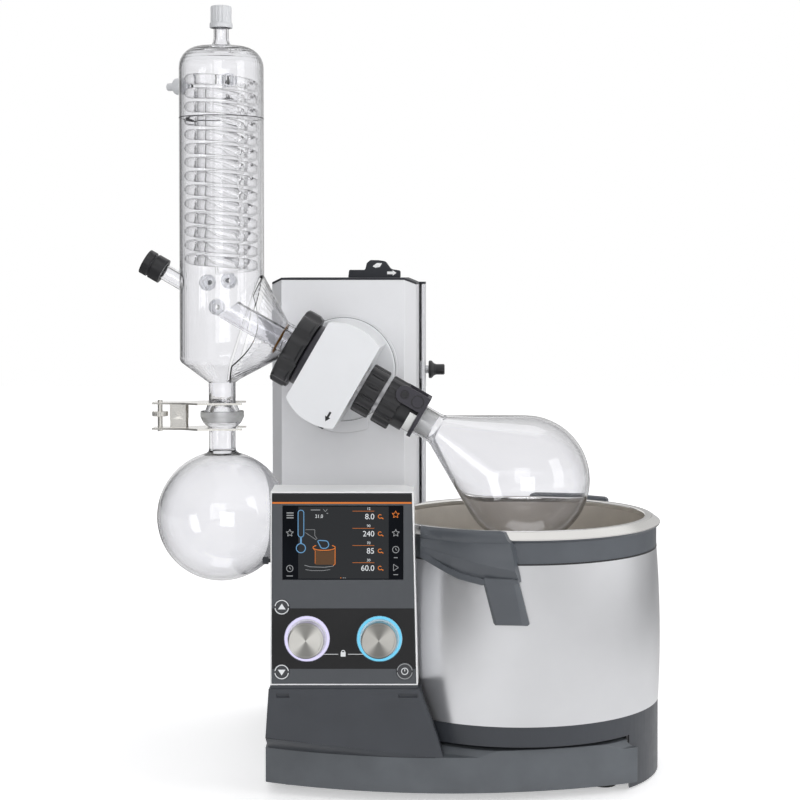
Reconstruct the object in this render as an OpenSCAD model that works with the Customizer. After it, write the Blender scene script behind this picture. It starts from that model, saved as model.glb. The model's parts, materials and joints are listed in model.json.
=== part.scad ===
// Rotary evaporator: motor lift, tilting drive head, vertical glass condenser, two round flasks,
// heating bath that slides on the base, and a control panel in front of the tower.
// Lengths are millimetres. X runs to the right, Y to the back and Z up from the table.

/* [Drive axis] */
// Height of the tilt axis above the table
tilt_z = 399; // [394:1:404]
// Place of the tilt axis along X
tilt_x = -61; // [-63:1:-59]
// Depth of the plane that holds the drive axis
drive_y = -54; // [-56:1:-52]
// Slope of the drive axis below the level
drive_angle = 30; // [28:1:31]

/* [Drive head] */
// Thickness of the head slab along the drive axis, left of the tilt axis
head_left = 31; // [30:1:34]
// Thickness of the head slab along the drive axis, right of the tilt axis
head_right = 25; // [25:1:27]
// Radius of the rounded ends of the head slab
head_r = 52.5; // [50:0.5:54]
// Distance from the drive plane to the front face of the slab
head_reach = 55; // [48:1:58]
// Radius of the round disc behind the slab
disc_r = 54; // [50:1:56]
// Thickness of the round disc
disc_t = 13; // [8:1:13]
// Radius of the tilt shaft
tilt_shaft_r = 12; // [10:0.5:14]
// Radius of the lower tongue of the tilt flange
tongue_r = 68; // [62:1:72]
// Half width of the lower tongue
tongue_half_w = 25; // [20:1:28]
// Radius of the hollow drive hub
hub_r = 17; // [16.5:0.1:17.5]
// Bearing outer radius
bearing_r = 24; // [23:0.5:25]
// Bearing width
bearing_w = 9; // [7:1:10]
// Radius of the belt pulley on the hub
hub_pulley_r = 20; // [19:0.5:21]
// Radius of the belt pulley on the motor
motor_pulley_r = 9; // [8:0.5:10]
// Distance between the drive axis and the motor axis
motor_offset = 39; // [38:0.5:40]
// Radius of the drive motor
motor_r = 12.5; // [10:0.5:13]

/* [Nuts and flask clamp] */
// Radius over the lobes of the union nut
union_nut_r = 40.5; // [38:0.5:43]
// Length of the union nut
union_nut_h = 19; // [18:0.5:20]
// Number of lobes on the union nut
union_nut_lobes = 8; // [6:1:10]
// Radius of the dark head collar
collar_r = 33; // [32:0.5:35]
// Width of the visible head collar
collar_w = 8; // [6:1:9]
// Radius of the ejector nut
ejector_r = 26.5; // [25:0.5:28]
// Length of the ejector nut
ejector_h = 19; // [16:0.5:20]
// Number of ribs on the ejector nut and the clamp collar
grip_ribs = 12; // [8:1:14]
// Radius of the ribbed clamp collar
clamp_r = 26; // [25.5:0.1:27]
// Length of the ribbed clamp collar
clamp_h = 19; // [17:0.5:20]
// Radius of the round clamp body behind its flange
clamp_body_r = 20; // [19.5:0.1:20]
// Radius of the clamp flange plate
clamp_flange_r = 25.5; // [24.5:0.5:27]
// Radius of the yoke's rounded ears
yoke_ear_r = 9; // [7.5:0.5:9.5]

/* [Evaporating flask and vapour tube] */
// Outer diameter of the pear-shaped flask
flask_d = 131; // [120:1:134]
// Distance from the tilt axis to the middle of the flask's ball
flask_reach = 218; // [214:1:222]
// Outer radius of the flask's ground neck
flask_neck_r = 15.6; // [15.4:0.1:15.8]
// Glass wall
glass_wall = 2.2; // [1.8:0.1:2.4]
// Outer diameter of the vapour tube
vapour_d = 23.7; // [22:0.1:23.9]

/* [Condenser] */
// Distance from the tilt axis to the condenser's axis along X
condenser_offset = 118.3; // [116:0.5:121]
// Outer diameter of the condenser jacket
jacket_d = 85; // [82:0.5:88]
// Height of the dome above the crossing of the two axes
jacket_up = 260.7; // [250:1:270]
// Depth of the jacket's cylinder below the crossing
jacket_down = 52.3; // [50:0.5:56]
// Outer diameter of the lower neck
lower_neck_d = 27; // [26:0.5:28]
// Distance from the crossing down to the ball joint's middle
ball_down = 110.3; // [106:0.5:114]
// Diameter of the joint's ground ball
ball_d = 35; // [34:0.5:36]
// Outer diameter of the joint's socket
socket_d = 43.6; // [42:0.2:45]
// Outer radius of the condenser arm beside the nut
arm_r = 19; // [18:0.2:19.5]
// Turns of the cooling coil
coil_turns = 14; // [12:1:14]
// Radius to the middle of the outer coil's tube
outer_coil_r = 31; // [29:0.5:33]
// Radius to the middle of the inner coil's tube
inner_coil_r = 20; // [18:0.5:21]
// Diameter of the outer coil's tube
outer_tube_d = 9.7; // [8:0.1:10]
// Diameter of the inner coil's tube
inner_tube_d = 8; // [7:0.1:9]
// Outer diameter of the receiving flask
receiver_d = 131; // [124:1:133]
// Radius of the vent cap
vent_cap_r = 13; // [11.5:0.5:14]
// Length of the vent cap
vent_cap_h = 22; // [18:1:24]
// Radius of the grey top cap
top_cap_r = 10.5; // [9.5:0.5:11.5]
// Length of the grey top cap
top_cap_h = 22; // [18:1:24]

/* [Joint clamp] */
// Thickness of the steel jaw plates
jaw_t = 2; // [1.5:0.1:2.2]
// Half width of the forks round the joint
jaw_half_w = 22; // [20:0.5:24]
// Reach of the jaws to the left of the condenser axis
jaw_reach = 70; // [68:1:72]
// Radius of the knurled wheel
wheel_r = 8; // [6:0.5:8.5]

/* [Tower and lift] */
// Width of the lifting tower shell
tower_w = 154; // [150:1:158]
// Depth of the shell's front face
tower_front = 26; // [24:1:28]
// Top of the tower cap
tower_top = 495; // [490:1:500]
// Lower edge of the tower shell
tower_bottom = 96; // [90:1:100]
// Width of the shell's slanted corners
corner_w = 12; // [10:1:14]
// Depth of the shell's slanted corners
corner_d = 19; // [15:1:22]
// Wall of the tower shells
tower_wall = 3; // [2:0.5:4]
// Air between the lifting shell and the fixed housing on each side
housing_gap = 3; // [1:0.5:4]
// Depth of the fixed housing's back face
housing_back = 190; // [186:1:194]
// Radius of the guide columns
column_r = 9; // [7:0.5:10]
// Half distance between the guide columns
column_half = 40; // [36:1:44]
// Travel of the lift
lift_travel = 140; // [120:5:140]

/* [Bath] */
// Air between the bath's rim and the corner of the tower
bath_air = 4.2; // [3.8:0.1:5]
// Inner radius of the pot
pot_r = 126.5; // [122:0.5:128]
// Height of the rim above the table
rim_z = 256.5; // [252:0.5:260]
// Height of the pot's floor above the table
pot_floor_z = 92; // [90:1:100]
// Wall of the pot
pot_wall = 2; // [1.5:0.1:2.5]
// How far the rim collar reaches beyond the pot's inside
rim_reach = 15.8; // [15:0.1:16.5]
// How far the collar reaches below its rim
collar_reach = 11.9; // [11.5:0.1:12.5]
// How far the bath shell reaches at its middle
shell_reach = 15.5; // [15:0.1:16]
// How far the skirt reaches
skirt_reach = 13.7; // [13:0.1:14.5]
// How far the grips reach
grip_reach = 26; // [24:0.5:28]
// Half angle that a grip spans
grip_half = 19; // [16:1:20]
// Angle of the front grip, left of the front
grip_turn = 21; // [19:1:23]
// Fall of the grip's ledge to the right
grip_fall = 11.4; // [9:0.2:13]

/* [Base] */
// Left end of the base front
base_left = -122; // [-126:1:-120]
// Reach of the base to the right of the bath's axis
base_right_reach = 111.5; // [109:0.5:114]
// Left end of the base back
base_back_left = -142; // [-146:1:-138]
// Depth of the base's rear edge
base_back = 208; // [203:1:210]
// Depth of the front arc's middle
front_y = -193; // [-195:1:-191]
// Radius of the front arc
front_arc_r = 434.7; // [400:1:480]
// Height of the feet
foot_h = 10; // [8:1:12]
// Top of the front fascia
fascia_z = 44; // [42:1:46]
// Rise of the deck under the bath
deck_rise = 6; // [4:0.5:7]

/* [Control panel] */
// Left edge of the panel
panel_x = -116; // [-118:1:-115]
// Depth of the panel's lower front edge
panel_y = -186; // [-188:1:-184]
// Height of the panel's lower edge
panel_z = 111; // [108:1:114]
// Width at the lower edge
panel_w = 139.2; // [137:0.5:140]
// How much narrower the panel is at its top
panel_taper = 4.4; // [3:0.1:6]
// Height of the panel along its face
panel_h = 182.2; // [178:1:186]
// Depth of the panel housing
panel_d = 34; // [30:1:36]
// Lean of the panel to the back
panel_lean = 2.2; // [1:0.1:4]
// Radius of the panel knobs
knob_r = 17; // [15:0.5:17]
// How far the knobs stand out
knob_out = 13; // [9:1:15]
// Outer radius of the lit rings
light_r = 21.5; // [21:0.1:22.5]
// Radius of the up and down keys
key_r = 7; // [6:0.2:7.4]
// Radius of the power key
power_r = 7.7; // [7:0.1:8]

/* [Clearances] */
// Gap between pieces that move past each other
run_gap = 0.3; // [0.2:0.05:0.5]
// Radial clearance of a shaft in its bearing
shaft_gap = 0.05; // [0.02:0.01:0.09]

/* [Hidden] */
$fn = 96;
e = 0.01;
hub_bore_r = vapour_d / 2 + 0.4;
hub_end = 60;
union_nut_t = -head_left - collar_w - union_nut_h - run_gap;
collar_t = -head_left - collar_w;
spigot_r = union_nut_r - 10.6;
spigot_l = 13;
glass_flange_r = spigot_r - 4.9;
seal_t = 4;
ejector_t = head_right + 3;
clamp_t = ejector_t + ejector_h + 4;
clamp_body_t = clamp_t + clamp_h;
clamp_flange_t = clamp_body_t + 20.5;
clamp_flange_h = 4;
yoke_pivot_t = clamp_body_t - 1;
yoke_pivot_up = 15.8;
yoke_ear_y = clamp_body_r + run_gap;
yoke_ear_w = 3.5;
yoke_pin_r = 3;
belt_t = 11;
belt_w = 8;
flask_r = flask_d / 2;
flask_neck_t = hub_end + 2;
neck_in_r = flask_neck_r - 0.9;
ground_t = clamp_flange_t - 12.5;
ground_l = 32;
ground_taper = 0.05;
neck_end = ground_t + ground_l + 4;
condenser_x = tilt_x - condenser_offset;
cross_z = tilt_z + condenser_offset * tan(drive_angle);
cross_t = -condenser_offset / cos(drive_angle);
jacket_r = jacket_d / 2;
dome_h = 21;
dome_top = cross_z + jacket_up;
jacket_bottom = cross_z - jacket_down;
neck_top_r = 7.5;
neck_top = dome_top + 37;
top_cap_z = dome_top + 19;
lower_neck_r = lower_neck_d / 2;
cone_end_z = jacket_bottom - 26;
ball_z = cross_z - ball_down;
ball_r = ball_d / 2;
socket_r = socket_d / 2;
receiver_r = receiver_d / 2;
receiver_z = ball_z - 37.5 - receiver_r;
arm_apex_t = union_nut_t + 12.3;
arm_skew = 12.75;
arm_flare = 57;
coil_top = dome_top - 30;
coil_bottom = cross_z + 36.1;
vent_cap_t = cross_t - jacket_r / cos(drive_angle) - 18.5 - vent_cap_h;
glass_flange_t = collar_t - 2 - seal_t - run_gap;
jaw_pin_x = condenser_x - 43.6;
jaw_screw_x = condenser_x - 63;
upper_jaw_z = ball_z + 10.3;
lower_jaw_z = ball_z - 15.4;
tower_x = tilt_x - 2;
tower_back = 144;
cap_t = 2.4;
cap_slope = 5;
housing_half = tower_w / 2 + housing_gap + tower_wall;
housing_front = 128;
housing_top = tower_top - 5;
column_y = tower_back + 6;
carriage_z = 270;
carriage_h = 50;
carriage_d = 32;
actuator_r = 13;
rod_r = 6;
rod_z = 90;
barb_r = 4;
barb_l = 12;
column_top = carriage_z + carriage_h + lift_travel + 10;
stop_z = 391;
stop_slot = 70;
stop_y = 156;
bearing_boss_r = 28;
bearing_boss_l = 44;
flange_t = 6;
deck_z = fascia_z + deck_rise;
skirt_z = deck_z + 4;
skirt_top = skirt_z + 19;
collar_z = rim_z - 30.5;
rim_r = pot_r + rim_reach;
collar_low_r = pot_r + collar_reach;
shell_r = pot_r + shell_reach;
skirt_r = pot_r + skirt_reach;
grip_r = pot_r + grip_reach;
heater_r = pot_r - 18.5;
heater_post_r = 6;
heater_t = 8;
skirt_floor = 3;
bath_gap_r = rim_r + 2.2;
bath_x = tower_x + tower_w / 2 + sqrt(pow(rim_r + bath_air, 2) - pow(tower_front + corner_d - drive_y, 2));
base_right = bath_x + base_right_reach;
base_mid = (base_left + base_right) / 2;
console_top_z = panel_z;
console_back = tower_front - 6;
crease_z = 62;
base_step = 43;
light_in_r = knob_r + 0.9;
left_knob_u = 34.6;
right_knob_u = 103.1;
knob_w = 43.6;
fascia_t = 3;
key_u = 10.9;
up_key_w = 73.6;
down_key_w = 12.6;
power_u = 127;
power_w = 13.2;
catch_w = 115.5;
screen_u = 11.5;
screen_w = 99.5;
screen_size = [113.9, 69.6];

// Points of an arc from angle a to angle b round [cx, cy]
function arc(cx, cy, r, a, b, n = 16) =
    [for (i = [0 : n]) [cx + r * cos(a + (b - a) * i / n), cy + r * sin(a + (b - a) * i / n)]];

// Outline of a belt round a large wheel at the origin and a small wheel at [0, d]
function belt_outline(large, small, d) =
    let (lean = asin((large - small) / d))
    concat(arc(0, 0, large, 180 - lean, 360 + lean, 28), arc(0, d, small, lean, 180 - lean, 14));

// Places its children with Z along the drive axis, down to the flask, and Y to the back
module on_axis(along = 0)
    translate([tilt_x, drive_y, tilt_z]) rotate([0, 90 + drive_angle, 0]) translate([0, 0, along]) children();

// Places its children with Z along the tilt axis, to the back
module on_tilt(depth = 0)
    translate([tilt_x, depth, tilt_z]) rotate([-90, 0, 0]) children();

// Places its children on the condenser's vertical axis
module on_condenser(height = 0)
    translate([condenser_x, drive_y, height]) children();

// Places its children on the bath's vertical axis
module on_bath(height = 0)
    translate([bath_x, drive_y, height]) children();

// Places its children on the leaning panel: X along it, Z up it and Y into it
module on_panel(u = 0, w = 0, into = 0)
    translate([panel_x, panel_y, panel_z]) rotate([-panel_lean, 0, 0]) translate([u, into, w]) children();

// A cylinder square to the panel that starts at the given depth and runs outwards
module panel_pin(u, w, into, r, h)
    on_panel(u, w, into) rotate([90, 0, 0]) cylinder(r = r, h = h);

// A knob with a chamfer at both ends and hollows round its edge
module grip_wheel(r, h, count, cut_r, cut_depth, chamfer = 1.5) {
    difference() {
        rotate_extrude() polygon([
            [0, 0], [r - chamfer, 0], [r, chamfer], [r, h - chamfer], [r - chamfer, h], [0, h]]);
        for (i = [0 : count - 1])
            rotate([0, 0, (i + 0.5) * 360 / count])
                translate([r + cut_r - cut_depth, 0, -e]) cylinder(r = cut_r, h = h + 2 * e, $fn = 48);
    }
}

// A round tube
module tube(outer, inner, h) {
    difference() {
        cylinder(r = outer, h = h);
        translate([0, 0, -e]) cylinder(r = inner, h = h + 2 * e);
    }
}

// A round tube along a list of points, each with its own ring of corners
module swept_tube(path, r, sides) {
    n = len(path);
    function heading(i) = let (v = path[min(i + 1, n - 1)] - path[max(i - 1, 0)]) v / norm(v);
    rings = [for (i = [0 : n - 1])
        let (dir = heading(i), side = cross([0, 0, 1], dir) / norm(cross([0, 0, 1], dir)), up = cross(dir, side))
        for (k = [0 : sides - 1]) path[i] + r * (cos(k * 360 / sides) * side + sin(k * 360 / sides) * up)];
    walls = [for (i = [0 : n - 2], k = [0 : sides - 1])
        let (a = i * sides + k, b = i * sides + (k + 1) % sides)
        [a, b, b + sides, a + sides]];
    start = [for (k = [0 : sides - 1]) sides - 1 - k];
    end = [for (k = [0 : sides - 1]) (n - 1) * sides + k];
    polyhedron(points = rings, faces = concat([start], [end], walls), convexity = 8);
}

// Plan of the base, cut to its curved front
module base_outline(z, h) {
    intersection() {
        translate([base_mid, front_y + front_arc_r, z]) cylinder(r = front_arc_r, h = h, $fn = 180);
        translate([0, 0, z]) linear_extrude(h) polygon([
            [base_left, front_y - 10], [base_right, front_y - 10], [base_right, front_y + base_step],
            [base_right - 9.5, front_y + base_step], [base_right - 9.5, 45], [60, base_back],
            [base_back_left, base_back]]);
    }
}

// Space that the bath needs beside the console and the panel
module bath_space()
    on_bath(-1) cylinder(r = bath_gap_r, h = rim_z + 60);

module base_plate() color([0.27, 0.29, 0.32]) {
    base_outline(foot_h, fascia_z - foot_h);
    intersection() {
        on_bath(fascia_z) cylinder(r1 = bath_gap_r - 0.6, r2 = bath_gap_r - 6, h = deck_rise);
        base_outline(fascia_z, deck_rise);
    }
}

module rubber_feet() color([0.1, 0.1, 0.1]) {
    for (p = [[base_left + 20, front_y + 75], [base_right - 30, front_y + 66],
              [base_back_left + 26, base_back - 26], [40, base_back - 30]])
        translate([p[0], p[1], 0]) cylinder(r1 = 11, r2 = 13, h = foot_h);
}

module base_console() color([0.27, 0.29, 0.32]) {
    difference() {
        union() {
            hull() {
                intersection() {
                    translate([base_mid, front_y + front_arc_r, fascia_z])
                        cylinder(r = front_arc_r, h = 0.5, $fn = 180);
                    translate([base_left, front_y - 10, fascia_z])
                        cube([panel_w + 30, console_back - front_y + 10, 0.5]);
                }
                translate([base_left + 1.5, panel_y - 1.5, crease_z - 0.5])
                    cube([panel_w + 23.3, console_back - panel_y + 1.5, 0.5]);
            }
            hull() {
                translate([base_left + 1.5, panel_y - 1.5, crease_z - 0.5])
                    cube([panel_w + 23.3, console_back - panel_y + 1.5, 0.5]);
                translate([panel_x - 1.5, panel_y - 0.5, console_top_z - 4])
                    cube([panel_w + 3, console_back - panel_y + 0.5, 0.5]);
            }
            translate([panel_x, panel_y + 1, console_top_z - 4])
                cube([panel_w, console_back - panel_y - 1, 4]);
        }
        bath_space();
        for (slot = [[panel_x + 6, 12], [panel_x + 121, 18]])
            translate([slot[0], panel_y - 5, console_top_z - 11.5]) cube([slot[1], 6.5, 3.6]);
    }
}

module guide_columns() color([0.75, 0.76, 0.78]) {
    for (side = [-1, 1])
        translate([tower_x + side * column_half, column_y, fascia_z])
            cylinder(r = column_r, h = column_top - fascia_z);
    translate([tower_x - column_half - 14, column_y - 11, column_top])
        cube([2 * column_half + 28, housing_back - tower_wall - column_y + 11, 10]);
}

module lift_actuator() color([0.35, 0.36, 0.38]) {
    difference() {
        union() {
            translate([tower_x, column_y, fascia_z]) cylinder(r = actuator_r, h = carriage_z + 20 - fascia_z);
            translate([tower_x - 18, column_y - 16, fascia_z]) cube([36, 32, 40]);
        }
        translate([tower_x, column_y, rod_z - 20]) cylinder(r = rod_r + shaft_gap, h = carriage_z);
    }
}

module lift_carriage() color([0.72, 0.73, 0.75]) {
    difference() {
        translate([tower_x - tower_w / 2 + tower_wall, column_y - 20, carriage_z])
            cube([tower_w - 2 * tower_wall, carriage_d, carriage_h]);
        for (side = [-1, 1])
            translate([tower_x + side * column_half, column_y, carriage_z - 1])
                cylinder(r = column_r + shaft_gap, h = carriage_h + 2);
        translate([tower_x, column_y, carriage_z - 1]) cylinder(r = actuator_r + 1, h = 26);
    }
    translate([tower_x, column_y, rod_z]) cylinder(r = rod_r, h = carriage_z + 30 - rod_z);
}

// Plan of the lifting shell with its slanted front corners, grown inwards by the inset
module tower_plan(inset, z, h) {
    half = tower_w / 2 - inset;
    front = tower_front + inset;
    slant = inset * 0.35;
    translate([tower_x, 0, z]) linear_extrude(h) polygon([
        [-half, tower_back], [-half, front + corner_d - slant], [-half + corner_w - slant, front],
        [half - corner_w + slant, front], [half, front + corner_d - slant], [half, tower_back]]);
}

// Body between the table and the sloping top line of the tower
module under_slope(top) {
    translate([tower_x, tower_back + 1, 0]) rotate([90, 0, 0]) linear_extrude(tower_back + 1) polygon([
        [-tower_w / 2 - 1, 0], [tower_w / 2 + 1, 0], [tower_w / 2 + 1, top - cap_slope - cap_slope / corner_w],
        [tower_w / 2 - corner_w, top], [-tower_w / 2 + corner_w, top],
        [-tower_w / 2 - 1, top - cap_slope - cap_slope / corner_w]]);
}

module tower_shell() color([0.84, 0.85, 0.86]) {
    difference() {
        intersection() {
            tower_plan(0, tower_bottom, tower_top - tower_bottom);
            under_slope(tower_top - cap_t);
        }
        translate([0, 0, -1]) tower_plan(tower_wall, tower_bottom, tower_top - tower_bottom);
        translate([tower_x - tower_w / 2 + tower_wall, tower_back - 1, tower_bottom - 1])
            cube([tower_w - 2 * tower_wall, 3, tower_top - tower_bottom]);
        on_tilt(tower_front - 1) cylinder(r = bearing_boss_r + 0.2, h = tower_wall + 2);
    }
}

module tower_cap() color([0.16, 0.17, 0.19]) {
    difference() {
        intersection() {
            tower_plan(0, tower_top - 12, 12);
            under_slope(tower_top);
        }
        under_slope(tower_top - cap_t);
    }
}

module tilt_flange() color([0.8, 0.81, 0.83]) {
    difference() {
        union() {
            on_tilt(tower_front - flange_t) cylinder(r = disc_r + 2, h = flange_t);
            on_tilt(tower_front - e) cylinder(r = bearing_boss_r, h = bearing_boss_l);
            intersection() {
                on_tilt(tower_front - flange_t) cylinder(r = tongue_r, h = flange_t);
                translate([tilt_x - tongue_half_w, tower_front - flange_t - 1, tilt_z - tongue_r - 1])
                    cube([2 * tongue_half_w, flange_t + 2, tongue_r]);
            }
        }
        on_tilt(tower_front - flange_t - 1)
            cylinder(r = tilt_shaft_r + shaft_gap, h = bearing_boss_l + flange_t + 2);
    }
}

module top_slider() color([0.12, 0.13, 0.15]) {
    translate([tilt_x + 1, 76, tower_top + 0.1]) rotate([90, 0, 0]) linear_extrude(14) polygon(concat(
        [[0, 0], [56, 0], [56, 8]],
        [for (i = [0 : 10]) [53.5 - 24 * i / 10, 8 + 11 * pow(sin(i * 9), 2)]],
        [[21.5, 19], [19.5, 15], [18.5, 8], [0, 8]]));
}

module rear_housing() color([0.8, 0.81, 0.83]) {
    difference() {
        translate([tower_x - housing_half, housing_front, fascia_z])
            cube([2 * housing_half, housing_back - housing_front, housing_top - cap_t - fascia_z]);
        translate([tower_x - housing_half + tower_wall, housing_front - 1, fascia_z - 1])
            cube([2 * (housing_half - tower_wall), housing_back - housing_front + 1 - tower_wall, housing_top]);
        translate([tower_x + housing_half - tower_wall - 1, stop_y - 3, stop_z - stop_slot])
            cube([tower_wall + 2, 6, 2 * stop_slot]);
        translate([tower_x - 16, housing_back - tower_wall - 1, 61])
            cube([32, tower_wall + 2, 26]);
    }
}

module rear_cap() color([0.16, 0.17, 0.19]) {
    translate([tower_x - housing_half, tower_back + 1, housing_top - cap_t])
        cube([2 * housing_half, housing_back - tower_back - 1, cap_t]);
}

module power_inlet() color([0.1, 0.1, 0.11]) {
    difference() {
        union() {
            translate([tower_x - 15.7, housing_back - 12, 61.3]) cube([31.4, 12, 25.4]);
            translate([tower_x - 24, housing_back, 58]) cube([48, 2, 32]);
        }
        translate([tower_x - 12.5, housing_back - 9, 65.5]) cube([25, 12, 17]);
    }
    for (pin = [-7, 0, 7])
        translate([tower_x + pin - 1, housing_back - 9.5, 72 + (pin == 0 ? 3 : 0)]) cube([2, 8, 4]);
}

module stop_block() color([0.7, 0.7, 0.72]) {
    side_x = tower_x + housing_half;
    translate([side_x - tower_wall - run_gap - 3.5, stop_y - 9, stop_z - 10]) cube([3.5, 18, 20]);
    translate([side_x - tower_wall - run_gap - 1, stop_y, stop_z]) rotate([0, 90, 0])
        cylinder(r = 2.5, h = 16 + tower_wall);
    translate([side_x + run_gap, stop_y, stop_z]) rotate([0, 90, 0]) cylinder(r = 4.5, h = 3.4);
}

module stop_knob() color([0.12, 0.12, 0.14]) {
    side_x = tower_x + housing_half;
    translate([side_x + 4, stop_y, stop_z]) rotate([0, 90, 0]) difference() {
        rotate_extrude() polygon([[0, 0], [9.3, 0], [10, 0.8], [10, 3], [9, 4.2], [7, 6], [6, 8.5], [6, 17],
                                  [5, 18], [0, 18]]);
        translate([0, 0, -1]) cylinder(r = 2.5 + shaft_gap, h = 13);
    }
}

module panel_body(inset, front, back) {
    half_drop = panel_taper;
    intersection() {
        on_panel(0, 0, back) rotate([90, 0, 0]) linear_extrude(back - front) polygon([
            [inset, inset], [panel_w - inset, inset],
            [panel_w - half_drop - inset, panel_h + 5 - inset], [inset, panel_h + 5 - inset]]);
        on_panel(panel_w + 1, 0, 0) rotate([0, -90, 0]) linear_extrude(panel_w + 2) polygon([
            [-1, front - 1], [panel_h - inset, front - 1], [panel_h - inset, 1], [panel_h + 4, panel_d],
            [panel_h + 4, back + 1], [-1, back + 1]]);
    }
}

module panel_housing() color([0.86, 0.87, 0.88]) {
    difference() {
        union() {
            panel_body(0, 0.8, panel_d);
            on_panel(-1.4, catch_w - 23, 12) cube([2, 46, 9]);
        }
        panel_body(1.2, -1, fascia_t + 0.1);
        bath_space();
        for (u = [left_knob_u, right_knob_u]) {
            panel_pin(u, knob_w, 22, 8, 14);
            panel_pin(u, knob_w, 22, 3 + run_gap, 24);
        }
        panel_pin(key_u, up_key_w, 10, key_r + run_gap, 12);
        panel_pin(key_u, down_key_w, 10, key_r + run_gap, 12);
        panel_pin(power_u, power_w, 10, power_r + run_gap, 12);
        on_panel(-5, catch_w, 16.5) rotate([0, 90, 0]) cylinder(r = 2 + shaft_gap, h = 16);
        translate([panel_x - 5, panel_y - 5, console_top_z - 10]) cube([panel_w + 10, panel_d + 20, 10]);
    }
}

module panel_fascia() color([0.2, 0.21, 0.23]) {
    difference() {
        panel_body(1.4, 0, fascia_t);
        on_panel(screen_u - 0.2, screen_w - 0.2, -1) cube([screen_size[0] + 0.4, 3.5, screen_size[1] + 0.4]);
        for (u = [left_knob_u, right_knob_u])
            panel_pin(u, knob_w, fascia_t + 1, light_r + 0.1, fascia_t + 3);
        panel_pin(key_u, up_key_w, fascia_t + 1, key_r + run_gap, fascia_t + 3);
        panel_pin(key_u, down_key_w, fascia_t + 1, key_r + run_gap, fascia_t + 3);
        panel_pin(power_u, power_w, fascia_t + 1, power_r + run_gap, fascia_t + 3);
    }
}

module display() color([0.05, 0.06, 0.07])
    on_panel(screen_u, screen_w, 0.2) cube([screen_size[0], 2.3, screen_size[1]]);

module light_rings() color([0.75, 0.9, 1]) {
    for (u = [left_knob_u, right_knob_u])
        difference() {
            panel_pin(u, knob_w, fascia_t, light_r, fascia_t + 0.8);
            panel_pin(u, knob_w, fascia_t + 1, light_in_r, fascia_t + 3);
        }
}

module encoder(u) {
    panel_pin(u, knob_w, 18, 3, 18 + knob_out - 4);
    panel_pin(u, knob_w, 12, 7, 12 - 8 - run_gap);
}

module panel_knob(u) {
    difference() {
        on_panel(u, knob_w, 0.5) rotate([90, 0, 0]) rotate_extrude() polygon([
            [0, 0], [knob_r, 0], [knob_r, knob_out - 0.8], [knob_r - 1.2, knob_out + 0.3],
            [0, knob_out + 0.3]]);
        panel_pin(u, knob_w, 2, 3 + shaft_gap, knob_out - 1.8);
    }
}

module left_encoder() color([0.6, 0.6, 0.62]) encoder(left_knob_u);
module right_encoder() color([0.6, 0.6, 0.62]) encoder(right_knob_u);
module left_knob() color([0.66, 0.66, 0.68]) panel_knob(left_knob_u);
module right_knob() color([0.66, 0.66, 0.68]) panel_knob(right_knob_u);
module up_button() color([0.3, 0.31, 0.33]) panel_pin(key_u, up_key_w, 8.5, key_r, 9.1);
module down_button() color([0.3, 0.31, 0.33]) panel_pin(key_u, down_key_w, 8.5, key_r, 9.1);
module power_button() color([0.3, 0.31, 0.33]) panel_pin(power_u, power_w, 8.5, power_r, 9.1);

module panel_catch() color([0.1, 0.1, 0.11]) {
    on_panel(-9, catch_w, 16.5) rotate([0, 90, 0]) cylinder(r = 3.6, h = 5.2);
    on_panel(-9, catch_w, 16.5) rotate([0, 90, 0]) cylinder(r = 2, h = 15);
}

module bath_pot() color([0.8, 0.81, 0.82]) {
    on_bath() rotate_extrude($fn = 180) polygon(concat(
        [[0, pot_floor_z - pot_wall], [pot_r - 10 + pot_wall, pot_floor_z - pot_wall]],
        arc(pot_r - 10, pot_floor_z + 10, 10 + pot_wall, -80, 0, 5),
        [[pot_r + pot_wall, rim_z - pot_wall], [pot_r + 7.3, rim_z - pot_wall], [pot_r + 7.3, rim_z],
         [pot_r + 1.5, rim_z], [pot_r, rim_z - 1.5]],
        arc(pot_r - 10, pot_floor_z + 10, 10, 0, -90, 6),
        [[0, pot_floor_z]]));
}

module bath_shell() color([0.78, 0.79, 0.8]) {
    low = skirt_r + 0.3;
    high = collar_low_r + 0.1;
    mid_z = (skirt_top + collar_z) / 2;
    half_h = (collar_z - skirt_top) / 2;
    n = 8;
    outer = [for (i = [0 : n])
        let (s = -1 + 2 * i / n, end_r = low + (high - low) * i / n)
        [end_r + (shell_r - (low + high) / 2) * (1 - s * s), mid_z + s * half_h]];
    on_bath() rotate_extrude($fn = 180) polygon(concat(
        outer, [for (i = [0 : n]) [outer[n - i][0] - 1.5, outer[n - i][1]]]));
}

module bath_collar() color([0.25, 0.27, 0.3]) {
    on_bath() rotate_extrude($fn = 180) polygon([
        [pot_r + pot_wall + 0.3, collar_z], [collar_low_r, collar_z], [collar_low_r, rim_z - 10],
        [rim_r, rim_z - 8], [rim_r, rim_z - 6.5], [pot_r + 7.5, rim_z], [pot_r + 7.5, rim_z - pot_wall - 0.1],
        [pot_r + pot_wall + 0.3, rim_z - pot_wall - 0.1]]);
}

module bath_skirt() color([0.25, 0.27, 0.3]) {
    leg_x = base_right_reach - 7.5;
    leg_half = drive_y - front_y - base_step - 2;
    difference() {
        union() {
            on_bath(skirt_z) tube(skirt_r, skirt_r - 4, skirt_top - skirt_z);
            on_bath(skirt_z) cylinder(r = skirt_r - 2, h = skirt_floor);
            intersection() {
                on_bath(2.5) tube(skirt_r, skirt_r - 6, skirt_z - 2);
                translate([bath_x + leg_x, drive_y - leg_half, 0]) cube([skirt_r, 2 * leg_half, skirt_z + 1]);
            }
            for (y = [-60, 60])
                translate([bath_x - 110, drive_y + y - 5, deck_z + run_gap]) cube([190, 10, 4]);
        }
        on_bath(skirt_z - 1) cylinder(r = 18, h = 6);
    }
}

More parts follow.
